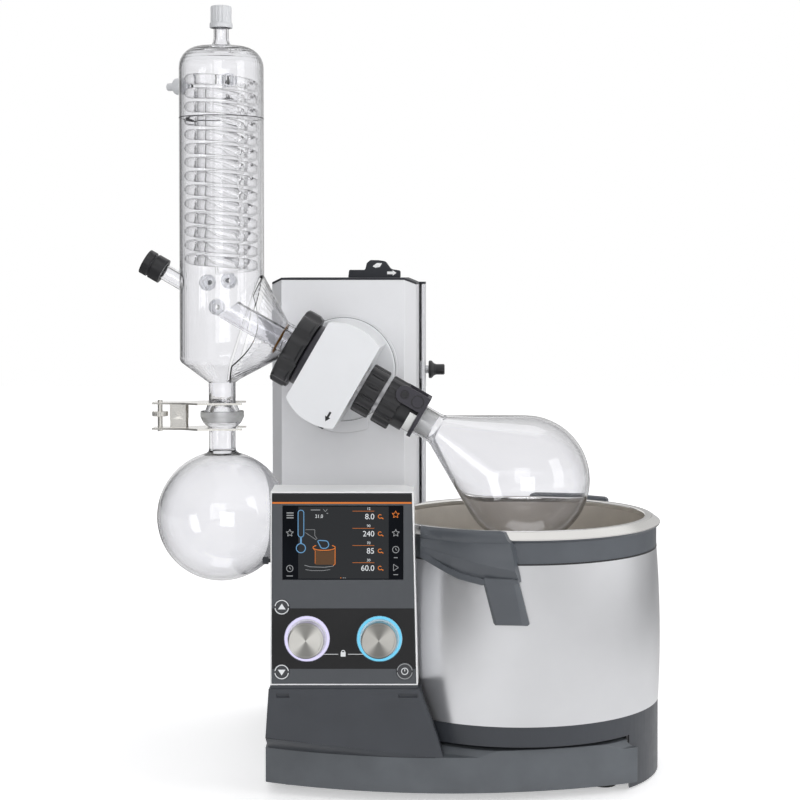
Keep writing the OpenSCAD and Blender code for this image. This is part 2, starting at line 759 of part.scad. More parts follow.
module bath_heater() color([0.45, 0.4, 0.36]) {
    plate_z = pot_floor_z - pot_wall - run_gap - heater_t;
    on_bath(plate_z) tube(heater_r, heater_r * 0.28, heater_t);
    for (i = [0 : 2])
        rotate_about_bath(i * 120 + 30) translate([heater_r * 0.65, 0, skirt_z + skirt_floor])
            cylinder(r = heater_post_r, h = plate_z - skirt_z - skirt_floor);
}

module rotate_about_bath(angle)
    translate([bath_x, drive_y, 0]) rotate([0, 0, angle]) children();

// Prism seen from the front of a grip, with points [share of its half width, height from the rim]
module grip_side(points)
    translate([0, -grip_r / 2, rim_z]) rotate([90, 0, 0]) linear_extrude(grip_r)
        polygon([for (p = points) [p[0] * grip_r * sin(grip_half), p[1]]]);

// Plate of the grip's leg, square to the front
module leg_plate(from, to, points)
    translate([0, -from, rim_z]) rotate([90, 0, 0]) linear_extrude(to - from) polygon(points);

// One grip, built round the bath's axis with its middle to the front: a band over the rim, a ledge for the
// fingers that falls to the right, a lip along the lower edge and a leg down the shell
module grip() {
    wall_r = rim_r + run_gap;
    lip_r = grip_r - 3.2;
    lip_bottom = [[0.996, -46], [0.316, -48.7], [-0.16, -44], [-1.04, -26.6]];
    intersection() {
        union() {
            translate([0, 0, rim_z]) rotate_extrude($fn = 180) polygon([
                [wall_r, -8], [wall_r, 1], [wall_r + 1, 2], [wall_r + 4.6, 2.5], [grip_r - 4, 1.4],
                [grip_r - 3.1, -0.6], [grip_r - 3, -6.5], [grip_r - 4.6, -9.6], [grip_r - 6.2, -11.2],
                [wall_r + 1.5, -28], [collar_low_r + 0.2, -28], [collar_low_r + 0.2, -11], [rim_r - 1, -9.6]]);
            intersection() {
                translate([0, 0, rim_z - 24.9]) rotate([0, grip_fall, 0]) rotate_extrude($fn = 180) polygon([
                    [wall_r, 30], [grip_r - 6.2, 28], [grip_r - 5.2, 19], [grip_r - 3.7, 10], [grip_r - 1.8, 4],
                    [grip_r - 0.3, 1.2], [grip_r, 0], [grip_r - 0.4, -1.2], [grip_r - 1.8, -4], [grip_r - 5.6, -12],
                    [grip_r - 5.6, -34], [wall_r, -34]]);
                grip_side([[-1.04, -9], [-1.04, -50], [1.04, -50], [1.04, -9]]);
            }
            intersection() {
                rotate_extrude($fn = 180) polygon([
                    [wall_r, rim_z - 60], [lip_r, rim_z - 60], [lip_r, rim_z - 12], [wall_r, rim_z - 12]]);
                grip_side(concat([[-1.04, -18.3], [-0.705, -26.2], [-0.42, -32.8], [-0.105, -38.3], [0.37, -43],
                                  [0.996, -43]], lip_bottom));
            }
        }
        grip_side(concat([[-1.04, 0], [-1, 2], [-0.95, 3], [0.625, 3], [0.735, 1], [0.796, -5.6], [0.84, -8.5],
                          [0.975, -37.8]], lip_bottom));
    }
    difference() {
        rotate([0, 0, 15]) hull() {
            leg_plate(shell_r - 4, lip_r - 4.5, [[-23.2, -42], [10.6, -42], [21.5, -85], [19.8, -86.6],
                                                 [-10.7, -86.6], [-12.3, -84.5]]);
            leg_plate(shell_r - 4, lip_r - 0.8, [[-20.8, -42], [6.2, -42], [15, -85.6], [-8.6, -85.6]]);
        }
        cylinder(r = shell_r + 0.4, h = rim_z);
    }
}

module bath_grips() color([0.25, 0.27, 0.3]) {
    difference() {
        union() {
            rotate_about_bath(-grip_turn) grip();
            rotate_about_bath(180 - grip_turn) grip();
        }
        translate([panel_x, panel_y - 10, 0]) cube([panel_w + 2, panel_d + 30, rim_z + 50]);
    }
}

module head_disc() color([0.84, 0.85, 0.86]) {
    disc_back = tower_front - flange_t - run_gap;
    on_tilt(disc_back - disc_t) cylinder(r = disc_r, h = disc_t);
    on_tilt(disc_back - e) cylinder(r = tilt_shaft_r, h = flange_t + bearing_boss_l + 2 * run_gap + 4);
    on_tilt(tower_front + bearing_boss_l + run_gap) cylinder(r = tilt_shaft_r + 4, h = 5);
}

module drive_housing() color([0.88, 0.89, 0.9]) {
    back = tower_front - flange_t - run_gap - disc_t;
    difference() {
        intersection() {
            on_tilt(drive_y - head_reach) cylinder(r = head_r, h = back - drive_y + head_reach);
            on_axis(-head_left) translate([-80, -80, 0]) cube([160, 180, head_left + head_right]);
        }
        on_axis(-head_left - 1) cylinder(r = hub_r + 1, h = head_left + head_right + 2);
        on_axis(-head_left - 1) cylinder(r = bearing_r + shaft_gap, h = 5 + bearing_w);
        on_axis(belt_t - bearing_w - 2) cylinder(r = bearing_r + shaft_gap, h = bearing_w + 2 + belt_w + 1);
        on_axis(belt_t - 1) linear_extrude(belt_w + 2)
            polygon([[-bearing_r, 0], [bearing_r, 0], [14, motor_offset], [-14, motor_offset]]);
        on_axis(belt_t - 1) translate([0, motor_offset, 0]) cylinder(r = 14, h = belt_w + 2);
        on_axis(-22) translate([0, motor_offset, 0]) cylinder(r = motor_r + 0.2, h = belt_t + 22);
        on_axis(4.7) translate([head_r - 14, -12.3, 0]) cube([20, 10.6, 10.6]);
    }
}

module drive_motor() color([0.3, 0.31, 0.33]) {
    on_axis(-21.5) translate([0, motor_offset, 0]) cylinder(r = motor_r, h = belt_t - 2 + 21.5);
    on_axis(-21.5) translate([0, motor_offset, 0]) cylinder(r = 3, h = belt_t + belt_w + 21);
}

module motor_pulley() color([0.72, 0.73, 0.75])
    on_axis(belt_t) translate([0, motor_offset, 0]) tube(motor_pulley_r, 3 + shaft_gap, belt_w);

module drive_belt() color([0.08, 0.08, 0.08]) {
    on_axis(belt_t + 0.5) difference() {
        linear_extrude(belt_w - 1)
            polygon(belt_outline(hub_pulley_r + 2.3, motor_pulley_r + 2.3, motor_offset));
        translate([0, 0, -1]) linear_extrude(belt_w + 1)
            polygon(belt_outline(hub_pulley_r + run_gap, motor_pulley_r + run_gap, motor_offset));
    }
}

module spindle_bearings() color([0.7, 0.71, 0.73]) {
    for (t = [-head_left + 4, belt_t - bearing_w - 1.5])
        on_axis(t) tube(bearing_r, hub_r + shaft_gap, bearing_w);
}

module spindle_seal() color([0.95, 0.95, 0.95])
    on_axis(collar_t - 2 - seal_t) tube(glass_flange_r, vapour_d / 2 + run_gap, seal_t);

module head_collar() color([0.13, 0.13, 0.15]) {
    on_axis() rotate_extrude() polygon([
        [hub_r + 1, collar_t - 2], [glass_flange_r + 0.2, collar_t - 2],
        [glass_flange_r + 0.2, collar_t - spigot_l], [spigot_r, collar_t - spigot_l], [spigot_r, collar_t],
        [collar_r - 1, collar_t], [collar_r, collar_t + 1], [collar_r, -head_left], [hub_r + 1, -head_left]]);
}

module condenser_nut() color([0.1, 0.1, 0.11]) {
    on_axis(union_nut_t) difference() {
        grip_wheel(union_nut_r, union_nut_h, union_nut_lobes, 16, 3.6, 2);
        translate([0, 0, -1]) cylinder(r = arm_r + 2, h = union_nut_h + 2);
        translate([0, 0, union_nut_h - spigot_l - 1.5]) cylinder(r = spigot_r + run_gap, h = spigot_l + 3);
    }
}

// Body of the glass jacket, thinned by the inset so that it serves for its outside and its inside
module jacket_form(inset) {
    r = jacket_r - inset;
    on_condenser() rotate_extrude() polygon(concat(
        [[0, ball_z - 8 - 3 * inset]],
        arc(0, ball_z, ball_r - inset * 3.2, -27, 39, 10),
        [[lower_neck_r - inset, ball_z + sqrt(pow(ball_r, 2) - pow(lower_neck_r, 2))],
         [lower_neck_r - inset, cone_end_z]],
        arc(r - 8, jacket_bottom, 8, -50, 0, 5),
        arc(r - dome_h + inset, dome_top - dome_h, dome_h - inset, 0, 90, 8),
        [[11 - inset, dome_top], [8.5 - inset, dome_top + 4], [neck_top_r - inset, dome_top + 9],
         [neck_top_r - inset, neck_top + inset], [0, neck_top + inset]]));
    // flared arm between the jacket and the union nut
    intersection() {
        on_axis(arm_apex_t - 1.4 * inset) translate([-3.6, 0, 0]) rotate([0, 180 - arm_skew, 0])
            cylinder(r1 = 0, r2 = arm_flare, h = arm_flare);
        on_condenser(cone_end_z) translate([-jacket_r, -r, 0]) cube([120, 2 * r, 140]);
        translate([condenser_x, drive_y - 60, cone_end_z + inset]) cube([200, 120, 200]);
    }
    on_axis(union_nut_t - 22) cylinder(r = arm_r - inset, h = glass_flange_t - union_nut_t + 22);
    // vent stub on the far side, in line with the drive axis
    on_axis(vent_cap_t + vent_cap_h - 12 - inset) cylinder(r = 8 - inset, h = 36 + inset);
}

module condenser_jacket() color([0.85, 0.93, 0.96, 0.35]) {
    difference() {
        union() {
            jacket_form(0);
            on_axis(glass_flange_t - 5.7) cylinder(r = glass_flange_r, h = 5.7);
        }
        jacket_form(glass_wall);
        on_axis(collar_t - 30) cylinder(r = arm_r - glass_wall, h = 60);
        on_axis(vent_cap_t) cylinder(r = 8 - glass_wall, h = 36);
        for (port = connector_ports())
            on_condenser(port[1]) rotate([0, 0, port[0]]) rotate([0, 90, 0])
                cylinder(r = barb_r + 0.1, h = jacket_r + 18, $fn = 32);
    }
}

// Direction round the condenser and height of each hose connector
function connector_ports() = [
    [150, dome_top - 37], [90, dome_top - 29], [104, cross_z - 2.8], [115, coil_bottom - 13.4],
    [90, coil_bottom - 11.4]];

module hose_connectors() color([0.7, 0.72, 0.74]) {
    for (port = connector_ports())
        on_condenser(port[1]) rotate([0, 0, port[0]]) rotate([0, 90, 0]) difference() {
            union() {
                translate([0, 0, jacket_r + run_gap]) cylinder(r = barb_r + 2.5, h = 6);
                translate([0, 0, jacket_r + 6]) cylinder(r = barb_r + 4.4, h = 9);
                translate([0, 0, jacket_r + 14]) cylinder(r = barb_r, h = barb_l);
            }
            cylinder(r = barb_r - 1.5, h = jacket_r + 14 + barb_l + 1, $fn = 32);
        }
}

// Points of a winding that climbs from one height to another
function winding(r, z0, z1, turns, steps, a0) =
    [for (i = [0 : turns * steps]) [r * cos(a0 + i * 360 / steps), r * sin(a0 + i * 360 / steps),
                                   z0 + (z1 - z0) * i / (turns * steps)]];

// A point at a radius and angle round the condenser
function ring_point(r, angle, z) = [r * cos(angle), r * sin(angle), z];

module cooling_coil() color([0.85, 0.93, 0.96, 0.5]) {
    wall_in_r = jacket_r - glass_wall - 0.5;
    low_in = connector_ports()[4];
    low_out = connector_ports()[3];
    on_condenser() {
        swept_tube(concat([ring_point(wall_in_r, low_in[0], low_in[1]),
                           ring_point(outer_coil_r + 4, low_in[0] + 1, low_in[1] + 1),
                           ring_point(outer_coil_r, low_in[0] + 8, low_in[1] + 6)],
                          winding(outer_coil_r, coil_bottom, coil_top, coil_turns, 16, 110),
                          [ring_point(outer_coil_r - 2, 128, coil_top + 4),
                           ring_point(inner_coil_r, 158, coil_top + 6)]),
                   outer_tube_d / 2, 6);
        swept_tube(concat([ring_point(wall_in_r, low_out[0], low_out[1]),
                           ring_point(inner_coil_r + 7, low_out[0] + 3, low_out[1] + 1),
                           ring_point(inner_coil_r, low_out[0] + 18, low_out[1] + 5)],
                          winding(inner_coil_r, coil_bottom, coil_top - outer_tube_d, coil_turns, 12, 150)),
                   inner_tube_d / 2, 6);
    }
}

module retaining_ring() color([0.45, 0.27, 0.12])
    on_axis(union_nut_t - 10) rotate_extrude()
        translate([arm_r - glass_wall - 1.3, 0]) circle(r = 1.1, $fn = 24);

module vent_cap() color([0.08, 0.08, 0.09]) {
    on_axis(vent_cap_t) difference() {
        union() {
            cylinder(r = vent_cap_r, h = vent_cap_h * 0.36);
            cylinder(r = vent_cap_r - 1.2, h = vent_cap_h * 0.5);
            translate([0, 0, vent_cap_h * 0.45]) cylinder(r = vent_cap_r, h = vent_cap_h * 0.55);
        }
        translate([0, 0, vent_cap_h - 13]) cylinder(r = 8 + run_gap, h = 20);
    }
}

module top_cap() color([0.8, 0.81, 0.82]) {
    on_condenser(top_cap_z) difference() {
        union() {
            cylinder(r = top_cap_r + 1, h = 5);
            grip_wheel(top_cap_r, top_cap_h, 16, 1.2, 0.5, 1);
        }
        translate([0, 0, -1]) cylinder(r = neck_top_r + run_gap, h = neck_top - top_cap_z + 1.3);
    }
}

// A steel fork plate round the joint, with its tongue to the left
module jaw_plate(z, hole_r) {
    on_condenser(z) difference() {
        union() {
            linear_extrude(jaw_t) polygon([
                [-jaw_reach, -9], [-38, -12], [-22, -jaw_half_w], [22, -jaw_half_w + 3], [22, jaw_half_w - 3],
                [-22, jaw_half_w], [-38, 12], [-jaw_reach, 9]]);
        }
        translate([0, 0, -1]) cylinder(r = hole_r, h = jaw_t + 2);
        translate([0, -hole_r, -1]) cube([60, 2 * hole_r, jaw_t + 2]);
        translate([jaw_screw_x - condenser_x, 0, -1]) cylinder(r = 2.5 + run_gap, h = jaw_t + 2);
    }
}

module upper_jaw() color([0.72, 0.71, 0.68]) {
    jaw_plate(upper_jaw_z, lower_neck_r + 1);
    difference() {
        for (side = [-1, 1])
            translate([jaw_pin_x - 8, drive_y + side * 9.2 - 0.8, ball_z - 5])
                cube([16, 1.6, upper_jaw_z - ball_z + 5.1]);
        translate([jaw_pin_x, drive_y + 20, ball_z + 0.1]) rotate([90, 0, 0]) cylinder(r = 1.9, h = 40);
    }
    translate([jaw_pin_x, drive_y + 11.5, ball_z + 0.1]) rotate([90, 0, 0]) cylinder(r = 2, h = 23);
}

module lower_jaw() color([0.72, 0.71, 0.68]) {
    jaw_plate(lower_jaw_z, lower_neck_r + 1.4);
    difference() {
        for (side = [-1, 1])
            translate([jaw_pin_x - 8, drive_y + side * 7 - 0.8, lower_jaw_z + jaw_t - 0.1])
                cube([16, 1.6, 16]);
        translate([jaw_pin_x, drive_y + 20, ball_z + 0.1]) rotate([90, 0, 0])
            cylinder(r = 2 + shaft_gap, h = 40);
    }
}

module clamp_wheel() color([0.74, 0.73, 0.7]) {
    translate([jaw_screw_x, drive_y, ball_z - 2.2]) grip_wheel(wheel_r, 5, 20, 0.8, 0.4, 0.5);
    translate([jaw_screw_x, drive_y, lower_jaw_z - 2])
        cylinder(r = 2.5, h = upper_jaw_z + jaw_t + 4 - lower_jaw_z);
}

module receiving_flask() color([0.85, 0.93, 0.96, 0.35]) {
    neck = lower_neck_r;
    in_neck = lower_neck_r - 3;
    in_r = receiver_r - glass_wall;
    cup_r = ball_r + 0.3;
    on_condenser() rotate_extrude() polygon(concat(
        [for (p = arc(0, receiver_z, receiver_r, -90, acos(neck / receiver_r), 24)) p],
        [[neck, ball_z - 14], [socket_r - 3, ball_z - 9], [socket_r, ball_z - 3], [socket_r, ball_z + 3]],
        [for (p = arc(0, ball_z, cup_r, asin(3 / cup_r), -acos(in_neck / cup_r), 8)) p],
        [for (p = arc(0, receiver_z, in_r, acos(in_neck / in_r), -90, 24)) p]));
}

module spindle_lock() color([0.08, 0.08, 0.09])
    on_axis(5) translate([head_r - 12, -12, 0]) cube([16.5, 10, 10]);

module spindle_hub() color([0.75, 0.76, 0.78]) {
    on_axis() rotate_extrude() polygon([
        [hub_bore_r, -head_left + 1], [hub_r, -head_left + 1], [hub_r, belt_t], [hub_pulley_r, belt_t],
        [hub_pulley_r, belt_t + belt_w], [hub_r, belt_t + belt_w], [hub_r, hub_end], [hub_bore_r, hub_end]]);
}

// Inner radius of the flask's ground neck at a distance along the drive axis
function ground_r(t) = neck_in_r - ground_taper * min(max(t - ground_t, 0), ground_l);

module vapour_tube() color([0.85, 0.93, 0.96, 0.4]) {
    tube_start = cross_t + 0.6;
    r = vapour_d / 2;
    difference() {
        on_axis() rotate_extrude() polygon([
            [r - 1.8, tube_start], [r, tube_start], [r, ground_t - 2], [ground_r(ground_t) - 0.1, ground_t],
            [ground_r(ground_t + ground_l) - 0.1, ground_t + ground_l], [r - 1.8, ground_t + ground_l]]);
        on_axis(tube_start) rotate([0, 26, 0]) translate([-40, -40, -34]) cube([80, 80, 40]);
    }
}

module clamp_collar() color([0.1, 0.1, 0.11]) {
    difference() {
        union() {
            on_axis(clamp_t) grip_wheel(clamp_r, clamp_h, grip_ribs, 7, 2.2, 1.2);
            on_axis(clamp_body_t - 1) cylinder(r = clamp_body_r, h = 13.2);
            on_axis(clamp_body_t) cylinder(r = clamp_body_r - 2.5, h = 20.2);
        }
        on_axis(clamp_t - 1) cylinder(r = hub_r + 0.05, h = hub_end - clamp_t + 1);
        on_axis(hub_end - e) cylinder(r = flask_neck_r + 0.6, h = 60);
        for (side = [-1, 1])
            on_axis(yoke_pivot_t) translate([-yoke_pivot_up, side * (yoke_ear_y - 0.4 + 10), 0])
                rotate([90, 0, 0]) translate([0, 0, -10]) {
                    cylinder(r = yoke_ear_r + 1, h = 20);
                    translate([-yoke_ear_r - 1, 0, 0]) cube([2 * yoke_ear_r + 2, 20, 20]);
                    translate([-20, -yoke_ear_r - 1, 0]) cube([20, 30, 20]);
                }
    }
    for (side = [-1, 1])
        on_axis(yoke_pivot_t) translate([-yoke_pivot_up, 0, 0]) rotate([side * -90, 0, 0])
            translate([0, 0, 14.5]) cylinder(r = yoke_pin_r, h = yoke_ear_y + yoke_ear_w - 14.5);
}

module clamp_latch() color([0.72, 0.74, 0.73]) {
    intersection() {
        on_axis(clamp_body_t + 12.5) tube(clamp_body_r, clamp_body_r - 2.4, 7.5);
        on_axis(clamp_body_t) translate([-3, -clamp_body_r - 1, 0]) cube([19, clamp_body_r, 40]);
    }
}

// Direction, from the ball's middle, of the point where a line from [x, y] touches a ball of radius r
function touch(x, y, r) = atan2(y, x) + acos(r / norm([x, y]));

module evaporating_flask() color([0.85, 0.93, 0.96, 0.35]) {
    in_r = flask_r - glass_wall;
    in_neck = ground_r(neck_end);
    out_turn = touch(flask_neck_r, neck_end - flask_reach, flask_r);
    in_turn = touch(in_neck, neck_end - flask_reach, in_r);
    on_axis(flask_reach) rotate_extrude() polygon(concat(
        arc(0, 0, flask_r, 90, out_turn, 26),
        [[flask_neck_r, neck_end - flask_reach], [flask_neck_r, flask_neck_t - flask_reach],
         [neck_in_r, flask_neck_t - flask_reach], [neck_in_r, ground_t - flask_reach],
         [in_neck, ground_t + ground_l - flask_reach], [in_neck, neck_end - flask_reach]],
        arc(0, 0, in_r, in_turn, 90, 26)));
}

module ejector_nut() color([0.1, 0.1, 0.11]) {
    on_axis(ejector_t) difference() {
        grip_wheel(ejector_r, ejector_h, grip_ribs, 7, 2.2, 1.2);
        translate([0, 0, -1]) cylinder(r = hub_r + run_gap, h = ejector_h + 2);
    }
}

module clamp_yoke() color([0.11, 0.11, 0.13]) {
    slot_r = flask_neck_r + 0.8;
    difference() {
        union() {
            on_axis(clamp_flange_t) cylinder(r = clamp_flange_r, h = clamp_flange_h);
            for (side = [-1, 1]) {
                on_axis(yoke_pivot_t) translate([-yoke_pivot_up, 0, 0]) rotate([side * -90, 0, 0])
                    translate([0, 0, yoke_ear_y]) cylinder(r = yoke_ear_r, h = yoke_ear_w);
                on_axis(yoke_pivot_t)
                    translate([-yoke_pivot_up - yoke_ear_r, side > 0 ? yoke_ear_y : -yoke_ear_y - yoke_ear_w, 0])
                        cube([2 * yoke_ear_r, yoke_ear_w, clamp_flange_t + clamp_flange_h - yoke_pivot_t]);
            }
        }
        on_axis(clamp_flange_t - 1) cylinder(r = slot_r, h = clamp_flange_h + 2);
        on_axis(clamp_flange_t - 1) translate([0, -slot_r, 0]) cube([60, 2 * slot_r, clamp_flange_h + 2]);
        for (side = [-1, 1])
            on_axis(yoke_pivot_t) translate([-yoke_pivot_up, 0, 0]) rotate([side * -90, 0, 0])
                translate([0, 0, yoke_ear_y - 1]) cylinder(r = yoke_pin_r + shaft_gap, h = yoke_ear_w + 2);
    }
}

base_plate();
rubber_feet();
base_console();
guide_columns();
lift_actuator();
rear_housing();
rear_cap();
power_inlet();
panel_housing();
panel_fascia();
display();
light_rings();
tower_shell();
tower_cap();
tilt_flange();
lift_carriage();
top_slider();
stop_block();
stop_knob();
bath_pot();
bath_shell();
bath_collar();
bath_skirt();
bath_heater();
bath_grips();
head_disc();
drive_housing();
drive_motor();
motor_pulley();
drive_belt();
spindle_bearings();
spindle_seal();
head_collar();
condenser_nut();
condenser_jacket();
cooling_coil();
hose_connectors();
retaining_ring();
vent_cap();
top_cap();
upper_jaw();
lower_jaw();
clamp_wheel();
receiving_flask();
spindle_lock();
spindle_hub();
vapour_tube();
clamp_collar();
clamp_latch();
evaporating_flask();
ejector_nut();
clamp_yoke();
left_encoder();
left_knob();
right_encoder();
right_knob();
up_button();
down_button();
power_button();
panel_catch();
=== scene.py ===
"""Bench rotary evaporator, dressed for rendering over its packed mechanical frame.

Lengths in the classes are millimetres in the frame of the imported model: X to the right, Y to the back and Z
up from the table. Meshes are brought to metres when they become objects.
"""

from __future__ import annotations

import json
import logging
import math
from collections.abc import Iterable, Sequence
from dataclasses import dataclass, field
from enum import Enum

import bmesh
import bpy
from mathutils import Matrix, Vector

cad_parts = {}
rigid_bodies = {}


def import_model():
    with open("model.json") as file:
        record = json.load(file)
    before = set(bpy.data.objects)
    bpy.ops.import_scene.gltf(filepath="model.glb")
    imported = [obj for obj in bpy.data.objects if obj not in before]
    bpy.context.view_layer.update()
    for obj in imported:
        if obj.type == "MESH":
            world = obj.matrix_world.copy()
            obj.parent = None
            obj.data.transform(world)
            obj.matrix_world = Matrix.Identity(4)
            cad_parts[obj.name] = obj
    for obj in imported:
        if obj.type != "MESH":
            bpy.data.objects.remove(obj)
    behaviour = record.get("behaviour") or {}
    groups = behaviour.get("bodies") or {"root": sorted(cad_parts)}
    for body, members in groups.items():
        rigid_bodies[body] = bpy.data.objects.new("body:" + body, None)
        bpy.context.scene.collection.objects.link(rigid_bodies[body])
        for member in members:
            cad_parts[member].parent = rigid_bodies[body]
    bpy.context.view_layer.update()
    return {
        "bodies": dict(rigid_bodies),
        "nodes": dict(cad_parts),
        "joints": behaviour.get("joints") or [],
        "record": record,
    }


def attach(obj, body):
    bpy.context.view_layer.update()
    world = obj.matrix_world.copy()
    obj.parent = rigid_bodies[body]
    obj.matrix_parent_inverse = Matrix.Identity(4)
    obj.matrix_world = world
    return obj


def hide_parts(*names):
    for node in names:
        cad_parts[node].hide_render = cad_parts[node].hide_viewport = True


LOG = logging.getLogger("evaporator")
MM = 0.001
METRES = Matrix.Scale(MM, 4)
WHITE = (1.0, 1.0, 1.0, 1.0)
PRINT_T = 0.15
CLOUDS_PER_MM = 0.035
SHEEN_PER_MM = 0.11
WAVES_PER_MM = 0.03
LETTER_SIZE = 1.38

Rgb = tuple[float, float, float]
Point2 = tuple[float, float]
Point3 = tuple[float, float, float]
Socket = bpy.types.NodeSocket

TILT_CENTRE: Point3 = (-61.0, -54.0, 399.0)
DRIVE_SLOPE = 30.0
CONDENSER_XY: Point2 = (-179.3, -54.0)
BATH_XY: Point2 = (122.0, -54.0)
PANEL_CORNER: Point3 = (-116.0, -186.0, 111.0)
PANEL_LEAN = 2.2


# Places on the object


def at_axis(along: float = 0.0) -> Matrix:
    """Returns the place whose Z runs down the drive axis, with X to the lower left and Y to the back."""
    turn = Matrix.Rotation(math.radians(90.0 + DRIVE_SLOPE), 4, "Y")
    return Matrix.Translation(TILT_CENTRE) @ turn @ Matrix.Translation((0.0, 0.0, along))


def at_tilt(depth: float = 0.0) -> Matrix:
    """Returns the place whose Z runs to the back along the tilt axis."""
    return Matrix.Translation((TILT_CENTRE[0], depth, TILT_CENTRE[2])) @ Matrix.Rotation(-math.pi / 2, 4, "X")


def at_condenser(height: float = 0.0) -> Matrix:
    """Returns the upright place on the condenser's axis."""
    return Matrix.Translation((*CONDENSER_XY, height))


def at_bath(height: float = 0.0) -> Matrix:
    """Returns the upright place on the bath's axis."""
    return Matrix.Translation((*BATH_XY, height))


def at_panel(u: float = 0.0, w: float = 0.0, out: float = 0.0) -> Matrix:
    """Returns the place on the panel's face with X along it, Y up it and Z out of it.

    Args:
        u: Distance from the panel's left edge.
        w: Distance up from its lower edge.
        out: Distance in front of its face.

    Returns:
        The place as a matrix in millimetres.
    """
    lean = Matrix.Rotation(math.radians(90.0 - PANEL_LEAN), 4, "X")
    return Matrix.Translation(PANEL_CORNER) @ lean @ Matrix.Translation((u, w, out))


# Finishes


class Grain(Enum):
    """How the surface of a finish is textured."""

    SMOOTH = "smooth"
    MOULDED = "moulded"
    POWDER = "powder"
    SPUN = "spun"
    TURNED = "turned"


class Graph:
    """Adds shader nodes to one tree and links them."""

    def __init__(self, tree: bpy.types.NodeTree) -> None:
        """Starts on an empty tree."""
        self.tree = tree
        tree.nodes.clear()

    def add(self, kind: str, inputs: dict[str, object] | None = None, **values: object) -> bpy.types.Node:
        """Adds a node.

        Args:
            kind: The node's type name.
            inputs: Its inputs by name, each with the number or the socket that it takes.
            **values: Its properties.

        Returns:
            The new node.
        """
        node = self.tree.nodes.new(kind)
        for name, value in values.items():
            setattr(node, name, value)
        for name, value in (inputs or {}).items():
            self.feed(node.inputs[name], value)
        return node

    def link(self, source: Socket, target: Socket) -> None:
        """Links two sockets."""
        self.tree.links.new(source, target)

    def feed(self, target: Socket, value: object) -> None:
        """Gives an input a number, a colour or the output of another node."""
        if isinstance(value, bpy.types.NodeSocket):
            self.link(value, target)
        else:
            target.default_value = value

    def maths(
        self, operation: str, first: Socket, second: Socket | float = 0.0, clamp: bool = False
    ) -> Socket:
        """Returns the result of a calculation.

        Args:
            operation: The node's name for it.
            first: The first value.
            second: The second value, which a calculation on one value leaves alone.
            clamp: Whether the result is kept from 0 to 1.

        Returns:
            The result's socket.
        """
        node = self.add("ShaderNodeMath", operation=operation, use_clamp=clamp)
        self.feed(node.inputs[0], first)
        self.feed(node.inputs[1], second)
        return node.outputs["Value"]

    def carried(
        self, value: Socket, source: Point2, target: Point2 = (0.0, 1.0), eased: bool = False
    ) -> Socket:
        """Returns a value carried over from one range to another.

        Args:
            value: The value.
            source: The range that it comes from.
            target: The range that it goes to.
            eased: Whether it leaves and arrives gently.

        Returns:
            The new value's socket.
        """
        numbers = {"Value": value, "From Min": source[0], "From Max": source[1], "To Min": target[0],
                   "To Max": target[1]}
        kind = "SMOOTHSTEP" if eased else "LINEAR"
        return self.add("ShaderNodeMapRange", numbers, interpolation_type=kind).outputs["Result"]

    def either(self, share: Socket, low: Socket | float, high: Socket | float) -> Socket:
        """Returns a value between two values."""
        ends = {"Factor": share, "A": low, "B": high}
        return self.add("ShaderNodeMix", ends, data_type="FLOAT").outputs["Result"]

    def split(self, vector: Socket) -> bpy.types.bpy_prop_collection:
        """Returns the X, Y and Z of a vector by name."""
        return self.add("ShaderNodeSeparateXYZ", {"Vector": vector}).outputs

    def noise(self, vector: Socket, scale: float, detail: float) -> Socket:
        """Returns the height of a noise pattern over a vector."""
        sizes = {"Scale": scale, "Detail": detail, "Vector": vector}
        return self.add("ShaderNodeTexNoise", sizes).outputs["Fac"]

    def spread(self, noise: Socket, low: float, high: float) -> Socket:
        """Returns the middle of a noise's range carried over to a range from low to high."""
        return self.carried(noise, (0.3, 0.7), (low, high))

    def blend(self, share: Socket, low: Rgb, high: Rgb) -> Socket:
        """Returns a colour between two colours."""
        node = self.add("ShaderNodeMix", {"Factor": share}, data_type="RGBA")
        colours = [s for s in node.inputs if s.type == "RGBA"]
        colours[0].default_value = (*low, 1.0)
        colours[1].default_value = (*high, 1.0)
        return next(s for s in node.outputs if s.type == "RGBA")

    def ramp(self, value: Socket, stops: Sequence[tuple[float, Rgb]]) -> Socket:
        """Returns a colour that runs through stops of (position, colour) over a value."""
        node = self.add("ShaderNodeValToRGB", {"Fac": value})
        band = node.color_ramp.elements
        while len(band) < len(stops):
            band.new(0.5)
        for element, (position, colour) in zip(band, stops):
            element.position = position
            element.color = (*colour, 1.0)
        return node.outputs["Color"]

    def levels(self, value: Socket, stops: Sequence[Point2]) -> Socket:
        """Returns a grey that runs through stops of (position, level) over a value."""
        return self.ramp(value, [(at, (level, level, level)) for at, level in stops])

    def bump(self, height: Socket, strength: float, depth_mm: float) -> Socket:
        """Returns the normal that a height makes."""
        sizes = {"Strength": strength, "Distance": depth_mm * MM, "Height": height}
        return self.add("ShaderNodeBump", sizes).outputs["Normal"]

    def object_mm(self, place: Matrix | None = None) -> Socket:
        """Returns object coordinates in millimetres, seen from a place where one is given."""
        coords = self.add("ShaderNodeTexCoord").outputs["Object"]
        mapping = self.add("ShaderNodeMapping", {"Vector": coords, "Scale": (1 / MM, 1 / MM, 1 / MM)})
        if place is not None:
            back = place.inverted()
            mapping.inputs["Rotation"].default_value = back.to_euler("XYZ")
            mapping.inputs["Location"].default_value = back.to_translation()
        return mapping.outputs["Vector"]


def shade(colour: Rgb, factor: float) -> Rgb:
    """Returns a colour made lighter or darker by a factor."""
    return tuple(min(1.0, c * factor) for c in colour)  # type: ignore[return-value]


